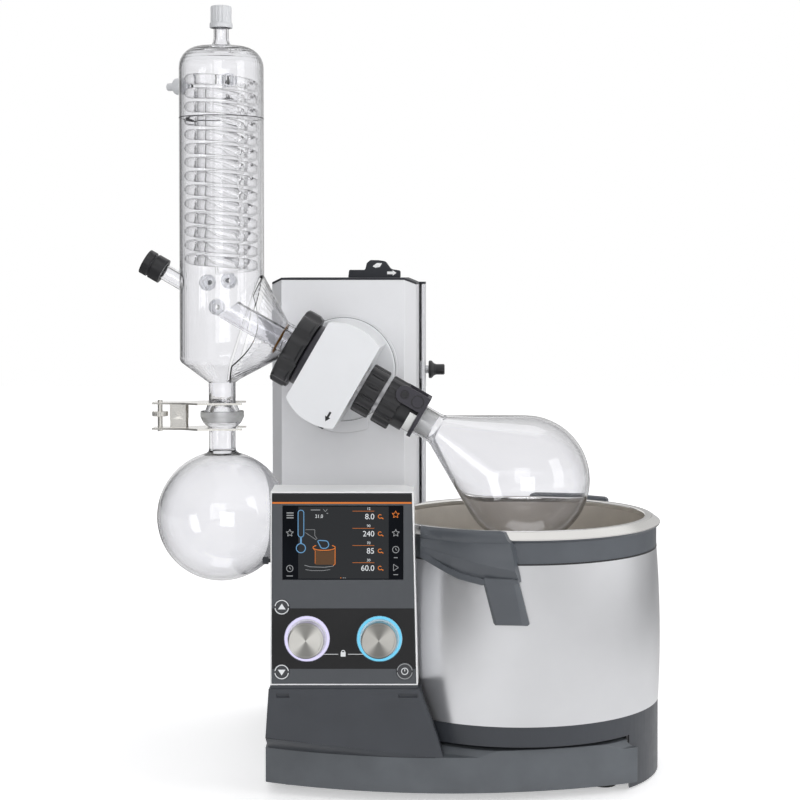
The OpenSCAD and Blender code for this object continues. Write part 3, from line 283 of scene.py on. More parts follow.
@dataclass(frozen=True)
class Surface:
    """What every finish has: a name, and the slot of the part's record that it fills."""

    name: str
    slot: str

    def material(self) -> bpy.types.Material:
        """Returns the finish as a node material, made once."""
        title = f"finish_{self.name}"
        mat = bpy.data.materials.get(title)
        if mat is None:
            mat = bpy.data.materials.new(title)
            mat.use_nodes = True
            graph = Graph(mat.node_tree)
            out = graph.add("ShaderNodeOutputMaterial")
            skin = graph.add("ShaderNodeBsdfPrincipled")
            graph.link(skin.outputs["BSDF"], out.inputs["Surface"])
            self.dress(mat, graph, skin)
        return mat

    def dress(self, mat: bpy.types.Material, graph: Graph, skin: bpy.types.Node) -> None:
        """Gives the surface shader its look.

        Args:
            mat: The material.
            graph: Its nodes.
            skin: The surface shader.
        """
        raise NotImplementedError


@dataclass(frozen=True)
class Finish(Surface):
    """One solid finish: its colour, gloss and the grain of its surface."""

    colour: Rgb
    roughness: float
    metallic: float = 0.0
    grain: Grain = Grain.SMOOTH
    grain_mm: float = 0.8
    depth_mm: float = 0.02
    mottle: float = 0.03
    specular: float = 0.5
    place: Matrix | None = field(default=None, hash=False, compare=False)

    def dress(self, mat: bpy.types.Material, graph: Graph, skin: bpy.types.Node) -> None:
        """Gives the surface its mottled colour, its gloss and its relief, and a turned face its painted
        reflection fans.
        """
        mat.diffuse_color = (*self.colour, 1.0)
        skin.inputs["Metallic"].default_value = self.metallic
        skin.inputs["Specular IOR Level"].default_value = self.specular
        where = graph.object_mm(self.place)
        clouds = graph.spread(graph.noise(where, CLOUDS_PER_MM, 3.0), 0.0, 1.0)
        colour = graph.blend(clouds, shade(self.colour, 1 - self.mottle), shade(self.colour, 1 + self.mottle))
        # A turned face gets painted reflection: fans of light and shade in its colour, turning with the knob.
        if self.grain is Grain.TURNED:
            colour = self._painted_fans(graph, where, colour)
            self._comb(graph, where, skin)
        sheen = graph.noise(where, SHEEN_PER_MM, 3.0)
        rough = graph.spread(sheen, self.roughness * 0.93, self.roughness * 1.07)
        graph.link(colour, skin.inputs["Base Color"])
        graph.link(rough, skin.inputs["Roughness"])
        graph.link(self._relief(graph, where), skin.inputs["Normal"])

    def _painted_fans(self, graph: Graph, where: Socket, colour: Socket) -> Socket:
        """Returns a turned face's colour with painted reflection: darker fans above and below the axis,
        lighter ones to its sides.

        Args:
            graph: The material's nodes.
            where: The coordinates in millimetres from the turning axis.
            colour: The face's plain colour.

        Returns:
            The colour socket.
        """
        parts = graph.split(where)
        angle = graph.maths("ARCTAN2", parts["Y"], parts["X"])
        wave = graph.maths("COSINE", graph.maths("MULTIPLY", angle, 2.0))
        share = graph.carried(wave, (-1.0, 0.4), (0.48, 1.14), eased=True)
        product = graph.add("ShaderNodeVectorMath", {"Scale": share}, operation="SCALE")
        graph.link(colour, product.inputs[0])
        return product.outputs["Vector"]

    def _comb(self, graph: Graph, where: Socket, skin: bpy.types.Node) -> None:
        """Gives a turned face the fans of light that its circular grain makes.

        Args:
            graph: The material's nodes.
            where: The coordinates in millimetres from the turning axis.
            skin: The surface shader.
        """
        across = graph.add("ShaderNodeVectorMath", operation="CROSS_PRODUCT")
        across.inputs[0].default_value = (0.0, 0.0, 1.0)
        graph.link(where, across.inputs[1])
        turn = graph.add("ShaderNodeMapping", {"Vector": across.outputs["Vector"]}, vector_type="VECTOR")
        turn.inputs["Rotation"].default_value = self.place.to_euler("XYZ")
        skin.inputs["Anisotropic"].default_value = 0.85
        graph.link(turn.outputs["Vector"], skin.inputs["Tangent"])

    def _relief(self, graph: Graph, where: Socket) -> Socket:
        """Returns the normal of the surface's grain.

        Args:
            graph: The material's nodes.
            where: The coordinates in millimetres.

        Returns:
            The normal socket.
        """
        if self.grain is Grain.TURNED:
            sizes = {"Scale": 0.31 / self.grain_mm, "Distortion": 0.4, "Vector": where}
            rings = graph.add("ShaderNodeTexWave", sizes, wave_type="RINGS", rings_direction="Z",
                              wave_profile="SIN")
            return graph.bump(rings.outputs["Fac"], 0.8, self.depth_mm)
        if self.grain is Grain.SPUN:
            stretch = graph.add("ShaderNodeMapping", {"Scale": (0.03, 0.03, 1.0), "Vector": where})
            grooves = graph.noise(stretch.outputs["Vector"], 1.0 / self.grain_mm, 3.0)
            return graph.bump(grooves, 0.7, self.depth_mm)
        detail = {Grain.SMOOTH: 1.0, Grain.MOULDED: 4.0, Grain.POWDER: 2.0}[self.grain]
        return graph.bump(graph.noise(where, 1.0 / self.grain_mm, detail), 0.6, self.depth_mm)


@dataclass(frozen=True)
class Glass(Surface):
    """Clear or frosted glass, with painted shade darkening its edges."""

    tint: Rgb = (0.94, 0.94, 0.955)
    painted_edge_shade: tuple[float, float, float] = (0.98, 0.82, 0.42)
    roughness: float = 0.0
    ior: float = 1.40
    wave_mm: float = 0.006
    coat: float = 0.0

    def dress(self, mat: bpy.types.Material, graph: Graph, skin: bpy.types.Node) -> None:
        """Makes the surface glass whose colour darkens towards its edges: painted shade for the dark
        surroundings that glass refracts there, partly also its longer path through the wall.
        """
        looks = {"Roughness": self.roughness, "Transmission Weight": 1.0, "IOR": self.ior,
                 "Coat Weight": self.coat, "Coat Roughness": 0.08}
        for name, value in looks.items():
            skin.inputs[name].default_value = value
        # Painted edge shade: the colour falls off with the facing towards the silhouette.
        turned = graph.add("ShaderNodeLayerWeight").outputs["Facing"]
        stops = zip((0.0, 0.35, 0.63, 0.83, 1.0), (1.0, *self.painted_edge_shade, 0.1))
        tint = graph.ramp(turned, [(at, shade(self.tint, share)) for at, share in stops])
        graph.link(tint, skin.inputs["Base Color"])
        waves = graph.noise(graph.object_mm(), WAVES_PER_MM, 1.0)
        graph.link(graph.bump(waves, 0.5, self.wave_mm), skin.inputs["Normal"])


@dataclass(frozen=True)
class Glow(Surface):
    """A lit surface, such as a lamp ring or a mark on the display."""

    colour: Rgb
    strength: float = 1.0

    def dress(self, mat: bpy.types.Material, graph: Graph, skin: bpy.types.Node) -> None:
        """Makes the surface shine in its own colour."""
        looks = {"Base Color": (*shade(self.colour, 0.15), 1.0), "Emission Color": (*self.colour, 1.0),
                 "Emission Strength": self.strength, "Roughness": 0.4}
        for name, value in looks.items():
            skin.inputs[name].default_value = value


class Finishes:
    """Every finish of the evaporator."""

    FASCIA_GRAIN = Finish("grained_dark_moulding", "dark_housing", (0.094, 0.103, 0.114), 0.5,
                          grain=Grain.MOULDED, grain_mm=1.1, depth_mm=0.12, mottle=0.10)
    CONSOLE = Finish("satin_dark_moulding", "dark_housing", (0.038, 0.042, 0.050), 0.42,
                     grain=Grain.MOULDED, grain_mm=0.9, depth_mm=0.03, mottle=0.05)
    GRIP = Finish("grip_moulding", "dark_housing", (0.078, 0.086, 0.098), 0.34,
                  grain=Grain.MOULDED, grain_mm=0.9, depth_mm=0.03, mottle=0.06)
    RUBBER = Finish("feet_rubber", "rubber", (0.018, 0.018, 0.018), 0.8, grain=Grain.MOULDED, depth_mm=0.08)
    PAINT = Finish("light_powder_coat", "light_paint", (0.71, 0.715, 0.735), 0.36, metallic=0.2,
                   grain=Grain.POWDER, grain_mm=1.6, depth_mm=0.012, mottle=0.012)
    HEAD_PAINT = Finish("head_powder_coat", "light_paint", (0.70, 0.71, 0.73), 0.32, metallic=0.15,
                        grain=Grain.POWDER, grain_mm=1.4, depth_mm=0.012, mottle=0.012)
    BLACK_CAP = Finish("black_cap_moulding", "black_cap", (0.02, 0.022, 0.028), 0.45,
                       grain=Grain.MOULDED, depth_mm=0.03)
    BLACK_NUT = Finish("black_nut_moulding", "black_nut", (0.018, 0.018, 0.020), 0.3,
                       grain=Grain.MOULDED, depth_mm=0.02, mottle=0.1)
    YOKE = Finish("yoke_moulding", "black_nut", (0.033, 0.031, 0.04), 0.36,
                  grain=Grain.MOULDED, depth_mm=0.02)
    LATCH = Finish("latch_moulding", "latch_grey", (0.86, 0.87, 0.86), 0.4,
                   grain=Grain.MOULDED, depth_mm=0.02)
    WHITE_EDGE = Finish("panel_white_edge", "panel_white", (0.86, 0.865, 0.87), 0.3, mottle=0.01)
    FASCIA = Finish("panel_fascia", "fascia_grey", (0.058, 0.063, 0.071), 0.4, grain=Grain.MOULDED,
                    grain_mm=0.8, depth_mm=0.015, mottle=0.04)
    BAND = Finish("panel_dark_band", "fascia_grey", (0.015, 0.015, 0.016), 0.4, mottle=0.05, specular=0.25)
    SCREEN = Finish("screen_glass", "screen_glass", (0.003, 0.004, 0.006), 0.16, mottle=0.2, specular=0.06)
    HAZE = Glow("display_haze", "screen_glass", (0.005, 0.007, 0.010), 0.7)
    KEY = Finish("key_moulding", "key_grey", (0.035, 0.037, 0.042), 0.4, mottle=0.03)
    PLATED = Finish("nickel_plate", "nickel", (0.93, 0.91, 0.87), 0.2, metallic=0.85, mottle=0.05)
    STEEL = Finish("ground_steel", "steel_rod", (0.62, 0.63, 0.65), 0.22, metallic=1.0, mottle=0.03)
    BEARING = Finish("turned_steel", "bearing_steel", (0.5, 0.5, 0.52), 0.3, metallic=1.0)
    ACTUATOR = Finish("actuator_paint", "actuator_grey", (0.1, 0.105, 0.115), 0.45, grain=Grain.POWDER)
    SHELL = Finish("bath_shell_silver", "shell_steel", (0.73, 0.735, 0.755), 0.31, metallic=0.85,
                   grain=Grain.POWDER, grain_mm=1.2, depth_mm=0.003, mottle=0.012)
    POT = Finish("spun_pot_steel", "pot_steel", (0.70, 0.665, 0.615), 0.3, metallic=0.75,
                 grain=Grain.SPUN, grain_mm=1.0, depth_mm=0.05, mottle=0.05)
    RIM = Finish("polished_rim_steel", "pot_steel", (0.80, 0.79, 0.77), 0.14, metallic=1.0, mottle=0.02)
    HEATER = Finish("heater_casting", "heater_metal", (0.12, 0.11, 0.1), 0.7,
                    grain=Grain.MOULDED, depth_mm=0.1)
    BELT = Finish("belt_rubber", "belt_rubber", (0.015, 0.015, 0.015), 0.7, grain=Grain.MOULDED)
    SEAL = Finish("seal_ring", "seal_white", (0.85, 0.85, 0.84), 0.35, mottle=0.01)
    GREY_CAP = Finish("grey_cap_moulding", "grey_cap", (0.62, 0.63, 0.65), 0.4, mottle=0.03)
    BROWN = Finish("brown_spring_ring", "brown_ring", (0.22, 0.11, 0.035), 0.3, metallic=0.8)
    PRINT = Finish("black_print", "black_nut", (0.012, 0.012, 0.014), 0.5, mottle=0.02)
    LEVEL = Finish("white_level_mark", "panel_white", (0.85, 0.85, 0.84), 0.4, mottle=0.01)
    GLASS = Glass("blown_glass", "clear_glass")
    COIL_GLASS = Glass("coil_tube_glass", "coil_glass", (0.995, 0.995, 0.997), (0.995, 0.84, 0.38),
                       ior=1.04, wave_mm=0.0, coat=0.4)
    FROSTED = Glass("ground_joint_glass", "clear_glass", (0.985, 0.99, 0.975), (0.99, 0.95, 0.86),
                    roughness=0.7, ior=1.2)
    GLOW_LEFT = Glow("ring_light_violet", "light_ring", (0.72, 0.68, 0.95), 0.95)
    GLOW_RIGHT = Glow("ring_light_cyan", "light_ring", (0.16, 0.60, 0.86), 0.95)
    WHITE_MARK = Glow("white_mark", "screen_glass", (0.72, 0.74, 0.76), 0.85)
    GREY_MARK = Glow("grey_mark", "screen_glass", (0.30, 0.31, 0.32), 0.85)
    ORANGE_MARK = Glow("orange_mark", "screen_glass", (0.66, 0.17, 0.015), 0.85)
    EMBER_MARK = Glow("ember_mark", "screen_glass", (0.085, 0.035, 0.008), 0.85)
    BLUE_MARK = Glow("blue_mark", "screen_glass", (0.12, 0.30, 0.52), 0.85)


# Mesh work


def fillet(points: Sequence[tuple[float, ...]], steps: int = 5, closed: bool = True) -> list[Point2]:
    """Rounds the corners of a flat outline.

    Args:
        points: Corners as (x, y) or (x, y, radius).
        steps: Straight pieces in each rounded corner.
        closed: Whether the last corner joins the first.

    Returns:
        The outline with its rounded corners.
    """
    out: list[Point2] = []
    count = len(points)
    for i, corner in enumerate(points):
        x, y = corner[0], corner[1]
        radius = corner[2] if len(corner) > 2 else 0.0
        if radius <= 0 or (not closed and i in (0, count - 1)):
            out.append((x, y))
            continue
        here = Vector((x, y))
        before = Vector(points[i - 1][:2]) - here
        after = Vector(points[(i + 1) % count][:2]) - here
        half = before.angle(after) / 2
        if half < 0.02 or half > math.pi / 2 - 0.01:
            out.append((x, y))
            continue
        reach = min(radius / math.tan(half), before.length * 0.49, after.length * 0.49)
        true_r = reach * math.tan(half)
        a, b = here + before.normalized() * reach, here + after.normalized() * reach
        middle = here + (before.normalized() + after.normalized()).normalized() * (true_r / math.sin(half))
        start, end = (a - middle), (b - middle)
        turn = start.angle_signed(end)
        for k in range(steps + 1):
            spoke = start.copy()
            spoke.rotate(Matrix.Rotation(-turn * k / steps, 2))
            out.append(tuple(middle + spoke))
    return out


def arc(cx: float, cy: float, r: float, start: float, end: float, steps: int = 16) -> list[Point2]:
    """Returns points of an arc between two angles in degrees."""
    angles = [math.radians(start + (end - start) * i / steps) for i in range(steps + 1)]
    return [(cx + r * math.cos(a), cy + r * math.sin(a)) for a in angles]


def rectangle(left: float, right: float, low: float, high: float) -> list[Point2]:
    """Returns the corners of a rectangle."""
    return [(left, low), (right, low), (right, high), (left, high)]


def lathe(profile: Sequence[Point2], steps: int = 96, closed: bool = True) -> bmesh.types.BMesh:
    """Turns a profile of (radius, height) round Z.

    Args:
        profile: The outline. Points on the axis become poles.
        steps: Faces round the turn.
        closed: Whether the last point joins the first.

    Returns:
        The turned mesh with its normals outwards.
    """
    bm = bmesh.new()
    rings: list[list[bmesh.types.BMVert]] = []
    for r, z in profile:
        if r < 1e-4:
            rings.append([bm.verts.new((0.0, 0.0, z))] * steps)
        else:
            turns = [k * math.tau / steps for k in range(steps)]
            rings.append([bm.verts.new((r * math.cos(a), r * math.sin(a), z)) for a in turns])
    pairs = list(zip(rings, rings[1:])) + ([(rings[-1], rings[0])] if closed else [])
    for low, high in pairs:
        for k in range(steps):
            n = (k + 1) % steps
            corners = list(dict.fromkeys((low[k], low[n], high[n], high[k])))
            if len(corners) > 2:
                bm.faces.new(corners)
    bmesh.ops.remove_doubles(bm, verts=bm.verts, dist=1e-4)
    bmesh.ops.recalc_face_normals(bm, faces=bm.faces)
    return bm


def slab(outline: Sequence[Point2], low: float, high: float) -> bmesh.types.BMesh:
    """Returns a flat outline pulled up from one height to another."""
    bm = bmesh.new()
    bottom = [bm.verts.new((x, y, low)) for x, y in outline]
    top = [bm.verts.new((x, y, high)) for x, y in outline]
    bm.faces.new(bottom)
    bm.faces.new(top)
    for k in range(len(outline)):
        n = (k + 1) % len(outline)
        bm.faces.new((bottom[k], bottom[n], top[n], top[k]))
    bmesh.ops.recalc_face_normals(bm, faces=bm.faces)
    return bm


def loft(rings: Sequence[Sequence[Point3]], caps: bool = True) -> bmesh.types.BMesh:
    """Joins rings of equally many points into one skin.

    Args:
        rings: The rings in order.
        caps: Whether the two ends are closed; if not, the last ring joins the first.

    Returns:
        The closed mesh with its normals outwards.
    """
    bm = bmesh.new()
    made = [[bm.verts.new(p) for p in ring] for ring in rings]
    pairs = list(zip(made, made[1:])) + ([] if caps else [(made[-1], made[0])])
    for low, high in pairs:
        for k in range(len(low)):
            n = (k + 1) % len(low)
            bm.faces.new((low[k], low[n], high[n], high[k]))
    if caps:
        bm.faces.new(made[0])
        bm.faces.new(made[-1])
    bmesh.ops.recalc_face_normals(bm, faces=bm.faces)
    return bm


def lobed(
    profile: Sequence[Point2], bore: float, count: int, depth: float, share: float, steps: int = 240
) -> bmesh.types.BMesh:
    """Makes a ring whose outside is fluted all round.

    Args:
        profile: The outside from low to high as (radius, height).
        bore: The radius of the hole.
        count: How many flutes.
        depth: Depth of a flute.
        share: Share of the spacing that a flute takes.
        steps: Faces round the ring.

    Returns:
        The closed mesh.
    """
    top_r = max(r for r, _ in profile)

    def radius(r: float, angle: float) -> float:
        """Returns the radius of the fluted outside at an angle."""
        phase = (angle * count / math.tau) % 1.0 - 0.5
        if abs(phase) >= share / 2:
            return r
        dip = math.cos(math.pi * phase / share) ** 2 * depth
        return min(r, max(bore + 0.5, top_r - dip))

    rings = []
    angles = [k * math.tau / steps for k in range(steps)]
    for r, z in profile:
        rings.append([(radius(r, a) * math.cos(a), radius(r, a) * math.sin(a), z) for a in angles])
    for z in (profile[-1][1], profile[0][1]):
        rings.append([(bore * math.cos(a), bore * math.sin(a), z) for a in angles])
    return loft(rings, caps=False)


def joined(parts: Iterable[bmesh.types.BMesh]) -> bmesh.types.BMesh:
    """Puts several meshes into one and frees them."""
    whole = bmesh.new()
    for part in parts:
        mesh = bpy.data.meshes.new("part")
        part.to_mesh(mesh)
        part.free()
        whole.from_mesh(mesh)
        bpy.data.meshes.remove(mesh)
    return whole


def placed(bm: bmesh.types.BMesh, place: Matrix) -> bmesh.types.BMesh:
    """Moves a mesh to a place and returns it."""
    bmesh.ops.transform(bm, matrix=place, verts=bm.verts)
    return bm


def shown(name: str, data: bpy.types.ID) -> bpy.types.Object:
    """Returns a new object in the scene."""
    obj = bpy.data.objects.new(name, data)
    bpy.context.scene.collection.objects.link(obj)
    return obj


def copied(node: str) -> bmesh.types.BMesh:
    """Returns a merged copy of a node of the frame, in millimetres."""
    bm = bmesh.new()
    bm.from_mesh(FRAME["nodes"][node].data)
    bmesh.ops.transform(bm, matrix=METRES.inverted(), verts=bm.verts)
    merge_mm, flat_deg = 0.004, 0.7
    bmesh.ops.remove_doubles(bm, verts=bm.verts, dist=merge_mm)
    bmesh.ops.dissolve_limit(bm, angle_limit=math.radians(flat_deg), verts=bm.verts, edges=bm.edges)
    bmesh.ops.recalc_face_normals(bm, faces=bm.faces)
    return bm


def add_piece(
    name: str,
    bm: bmesh.types.BMesh,
    body: str,
    finish: Surface,
    place: Matrix | None = None,
    replaces: Sequence[str] = (),
    bevel: float = 0.0,
    smooth: float = 32.0,
) -> None:
    """Makes a mesh into a piece that rides on a body.

    Args:
        name: The piece's name.
        bm: Its mesh in millimetres. It is freed.
        body: The body that it rides on.
        finish: Its finish.
        place: Where its own frame sits.
        replaces: Nodes of the frame that it stands for.
        bevel: Width of the rounding on its edges.
        smooth: Edges flatter than this many degrees are smooth.
    """
    if place is not None:
        placed(bm, place)
    mesh = bpy.data.meshes.new(name)
    bm.to_mesh(mesh)
    bm.free()
    mesh.transform(METRES)
    mesh.shade_smooth()
    mesh.set_sharp_from_angle(angle=math.radians(smooth))
    obj = shown(name, mesh)
    mesh.materials.append(finish.material())
    if bevel:
        rounding = obj.modifiers.new("rounding", "BEVEL")
        rounding.width = bevel * MM
        rounding.segments = 3
        rounding.limit_method = "ANGLE"
        rounding.angle_limit = math.radians(smooth)
        rounding.harden_normals = True
    if isinstance(finish, Glass):
        obj.visible_shadow = False
    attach(obj, body)
    if replaces:
        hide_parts(*replaces)
    LOG.info("%s on %s: %d faces", name, body, len(mesh.polygons))


def dressed(
    name: str, node: str, body: str, finish: Surface, bevel: float = 0.0, smooth: float = 32.0
) -> None:
    """Makes a copy of a node of the frame into the piece that stands for it.

    Args:
        name: The piece's name.
        node: The node that it copies and replaces.
        body: The body that it rides on.
        finish: Its finish.
        bevel: Width of the rounding on its edges.
        smooth: Edges flatter than this many degrees are smooth.
    """
    add_piece(name, copied(node), body, finish, replaces=(node,), bevel=bevel, smooth=smooth)


def keep(node: str, finish: Surface) -> None:
    """Gives a node of the frame that stays its finish."""
    obj = FRAME["nodes"][node]
    obj.data.materials.clear()
    obj.data.materials.append(finish.material())
    for face in obj.data.polygons:
        face.material_index = 0
    obj.data.update()


# Geometry node trees


class NodeTree:
    """A geometry node tree with named inputs that ends in realized instances and one material."""

    def __init__(self, name: str, sizes: dict[str, float | int]) -> None:
        """Makes the tree's sockets.

        Args:
            name: The tree's name.
            sizes: Named inputs with their values.
        """
        self.tree = bpy.data.node_groups.new(name, "GeometryNodeTree")
        self.tree.interface.new_socket("Geometry", in_out="INPUT", socket_type="NodeSocketGeometry")
        self.tree.interface.new_socket("Geometry", in_out="OUTPUT", socket_type="NodeSocketGeometry")
        self.values: dict[str, tuple[str, float | int]] = {}
        for label, value in sizes.items():
            kind = "NodeSocketInt" if isinstance(value, int) else "NodeSocketFloat"
            socket = self.tree.interface.new_socket(label, in_out="INPUT", socket_type=kind)
            self.values[label] = (socket.identifier, value)
        self.inputs = self.tree.nodes.new("NodeGroupInput")
        self.outputs = self.tree.nodes.new("NodeGroupOutput")

    def add(self, kind: str, **values: object) -> bpy.types.Node:
        """Adds a node with its properties set."""
        node = self.tree.nodes.new(kind)
        for name, value in values.items():
            setattr(node, name, value)
        return node

    def wire(self, source: Socket, target: Socket) -> None:
        """Links two sockets."""
        self.tree.links.new(source, target)

    def feed(self, label: str, target: Socket) -> None:
        """Links a named input to a socket."""
        self.wire(self.inputs.outputs[label], target)

    def close(self, geometry: Socket, finish: Surface) -> None:
        """Ends the tree with realized instances in one finish."""
        real = self.add("GeometryNodeRealizeInstances")
        dress = self.add("GeometryNodeSetMaterial")
        dress.inputs["Material"].default_value = finish.material()
        self.wire(geometry, real.inputs["Geometry"])
        self.wire(real.outputs["Geometry"], dress.inputs["Geometry"])
        self.wire(dress.outputs["Geometry"], self.outputs.inputs["Geometry"])

    def mesh(self) -> bmesh.types.BMesh:
        """Runs the tree and returns its result as a plain mesh."""
        holder = shown("holder", bpy.data.meshes.new("holder"))
        modifier = holder.modifiers.new("tree", "NODES")
        modifier.node_group = self.tree
        for identifier, value in self.values.values():
            modifier[identifier] = value
        graph = bpy.context.evaluated_depsgraph_get()
        result = bpy.data.meshes.new_from_object(holder.evaluated_get(graph))
        holder.modifiers.clear()
        bpy.data.objects.remove(holder)
        bm = bmesh.new()
        bm.from_mesh(result)
        bpy.data.meshes.remove(result)
        bmesh.ops.remove_doubles(bm, verts=bm.verts, dist=1e-4)
        bmesh.ops.recalc_face_normals(bm, faces=bm.faces)
        return bm


def wound_tube(
    name: str, radius: float, turns: float, height: float, tube_r: float, finish: Surface
) -> bmesh.types.BMesh:
    """Winds a tube round Z with geometry nodes.

    Args:
        name: The tree's name.
        radius: Radius to the tube's middle.
        turns: How many turns.
        height: Rise over all the turns.
        tube_r: Radius of the tube.
        finish: Its finish.

    Returns:
        The tube as a mesh.
    """
    tree = NodeTree(name, {"Turns": turns, "Radius": radius, "Height": height, "Tube Radius": tube_r,
                           "Turn Steps": 44, "Sides": 14})
    spiral = tree.add("GeometryNodeCurveSpiral")
    tree.feed("Turn Steps", spiral.inputs["Resolution"])
    tree.feed("Turns", spiral.inputs["Rotations"])
    tree.feed("Radius", spiral.inputs["Start Radius"])
    tree.feed("Radius", spiral.inputs["End Radius"])
    tree.feed("Height", spiral.inputs["Height"])
    circle = tree.add("GeometryNodeCurvePrimitiveCircle")
    tree.feed("Sides", circle.inputs["Resolution"])
    tree.feed("Tube Radius", circle.inputs["Radius"])
    skin = tree.add("GeometryNodeCurveToMesh")
    skin.inputs["Fill Caps"].default_value = True
    tree.wire(spiral.outputs["Curve"], skin.inputs["Curve"])
    tree.wire(circle.outputs["Curve"], skin.inputs["Profile Curve"])
    tree.close(skin.outputs["Mesh"], finish)
    return tree.mesh()


def rib_ring(name: str, count: int, radius: float, size: Point3, finish: Surface) -> bmesh.types.BMesh:
    """Sets rounded ribs in a ring round Z with geometry nodes.

    Args:
        name: The tree's name.
        count: How many ribs.
        radius: Radius to their middles.
        size: Half depth, half width and half length of a rib.
        finish: Their finish.

    Returns:
        The ribs as one mesh, centred on height zero.
    """
    tree = NodeTree(name, {"Count": count, "Radius": radius, "Half Depth": size[0], "Half Width": size[1],
                           "Half Length": size[2]})
    ring = tree.add("GeometryNodeMeshCircle", fill_type="NONE")
    tree.feed("Count", ring.inputs["Vertices"])
    tree.feed("Radius", ring.inputs["Radius"])
    rod = tree.add("GeometryNodeMeshUVSphere")
    rod.inputs["Segments"].default_value = 10
    rod.inputs["Rings"].default_value = 8
    rod.inputs["Radius"].default_value = 1.0
    scale = tree.add("ShaderNodeCombineXYZ")
    tree.feed("Half Depth", scale.inputs["X"])
    tree.feed("Half Width", scale.inputs["Y"])
    tree.feed("Half Length", scale.inputs["Z"])
    where = tree.add("GeometryNodeInputPosition")
    face = tree.add("FunctionNodeAlignRotationToVector", axis="X", pivot_axis="Z")
    tree.wire(where.outputs["Position"], face.inputs["Vector"])
    copies = tree.add("GeometryNodeInstanceOnPoints")
    tree.wire(ring.outputs["Mesh"], copies.inputs["Points"])
    tree.wire(rod.outputs["Mesh"], copies.inputs["Instance"])
    tree.wire(face.outputs["Rotation"], copies.inputs["Rotation"])
    tree.wire(scale.outputs["Vector"], copies.inputs["Scale"])
    tree.close(copies.outputs["Instances"], finish)
    return tree.mesh()


# Sub-assemblies


@dataclass
class Base:
    """The base plate with its curved fascia, the feet and the console under the panel."""

    body: str = "base"
    front_y: float = -193.0
    front_r: float = 434.7
    front_x: float = 55.75
    seam_z: Point2 = (43.7, 44.4)

    def build(self) -> None:
        """Builds the plate and the console and dresses the feet."""
        dressed("base_fascia", "base_plate", self.body, Finishes.FASCIA_GRAIN, bevel=1.6)
        dressed("console", "base_console", self.body, Finishes.CONSOLE, bevel=1.2)
        keep("rubber_feet", Finishes.RUBBER)
        self.seam()

    def seam(self) -> None:
        """Adds the dark joint line between the console and the plate, along the plate's curved front."""
        front = []
        for x in range(-120, 41, 8):
            sag = self.front_r - math.sqrt(self.front_r**2 - (x - self.front_x) ** 2)
            front.append((x, self.front_y + sag))
        ring = [(x, y - 0.15) for x, y in front] + [(x, y + 1.5) for x, y in reversed(front)]
        add_piece("console_seam", slab(ring, *self.seam_z), self.body, Finishes.BLACK_CAP)


@dataclass
class Tower:
    """The lifting tower, the fixed housing behind it, the slide switch and the depth stop."""

    slider_at: Point3 = (-60.0, 76.0, 495.1)
    slider_depth: float = 14.0
    stop_at: Point3 = (24.0, 156.0, 391.0)

    def build(self) -> None:
        """Builds the visible shells and dresses what is behind them."""
        dressed("tower_front", "tower_shell", "lift", Finishes.PAINT, bevel=0.8)
        dressed("tower_lid", "tower_cap", "lift", Finishes.BLACK_CAP, bevel=0.5)
        dressed("tilt_bearing", "tilt_flange", "lift", Finishes.PAINT, bevel=0.6)
        dressed("fixed_housing", "rear_housing", "base", Finishes.PAINT, bevel=0.8)
        keep("rear_cap", Finishes.BLACK_CAP)
        keep("power_inlet", Finishes.BLACK_CAP)
        keep("guide_columns", Finishes.STEEL)
        keep("lift_actuator", Finishes.ACTUATOR)
        keep("lift_carriage", Finishes.BEARING)
        self.slider()
        self.depth_stop()

    def slider(self) -> None:
        """Builds the slide switch on top with its two plain pictograms."""
        outline = fillet([(0, 0), (56, 0, 1), (56, 7.5, 2), (46, 9, 5), (40, 17.5, 5), (33, 18.6, 5),
                          (24, 18.8, 3), (20, 15.5, 3), (18.3, 8.2, 2), (1, 8.2, 1.5)], 4)
        place = Matrix.Translation(self.slider_at) @ Matrix.Rotation(math.pi / 2, 4, "X")
        add_piece("slide_switch", slab(outline, 0.0, self.slider_depth), "slider", Finishes.BLACK_CAP, place,
                  replaces=("top_slider",), bevel=0.5)
        leaf = fillet([(26.5, 12.2), (29, 10.4, 1), (34, 11.2, 1.5), (36.5, 15.2), (31, 15.6, 2)], 3)
        arrow = [(42, 3.4), (48, 3.4), (48, 1.9), (52, 4.9), (48, 7.9), (48, 6.4), (42, 6.4)]
        marks = joined(slab(mark, self.slider_depth, self.slider_depth + PRINT_T) for mark in (leaf, arrow))
        add_piece("slide_marks", marks, "slider", Finishes.WHITE_EDGE, place)

    def depth_stop(self) -> None:
        """Builds the round knob of the depth stop."""
        place = Matrix.Translation(self.stop_at) @ Matrix.Rotation(math.pi / 2, 4, "Y")
        profile = fillet([(2.6, 0), (9.3, 0, 0.5), (10, 0.8, 0.4), (10, 3, 0.4), (9, 4.2, 0.5), (7, 6, 1),
                          (6, 8.5, 1), (6, 17, 0.8), (5, 18, 0.6), (0, 18), (0, 13), (2.6, 13)], 4)
        add_piece("stop_grip", lathe(profile, 64), "stop_grip", Finishes.BLACK_NUT, place,
                  replaces=("stop_knob",))
        keep("stop_block", Finishes.STEEL)


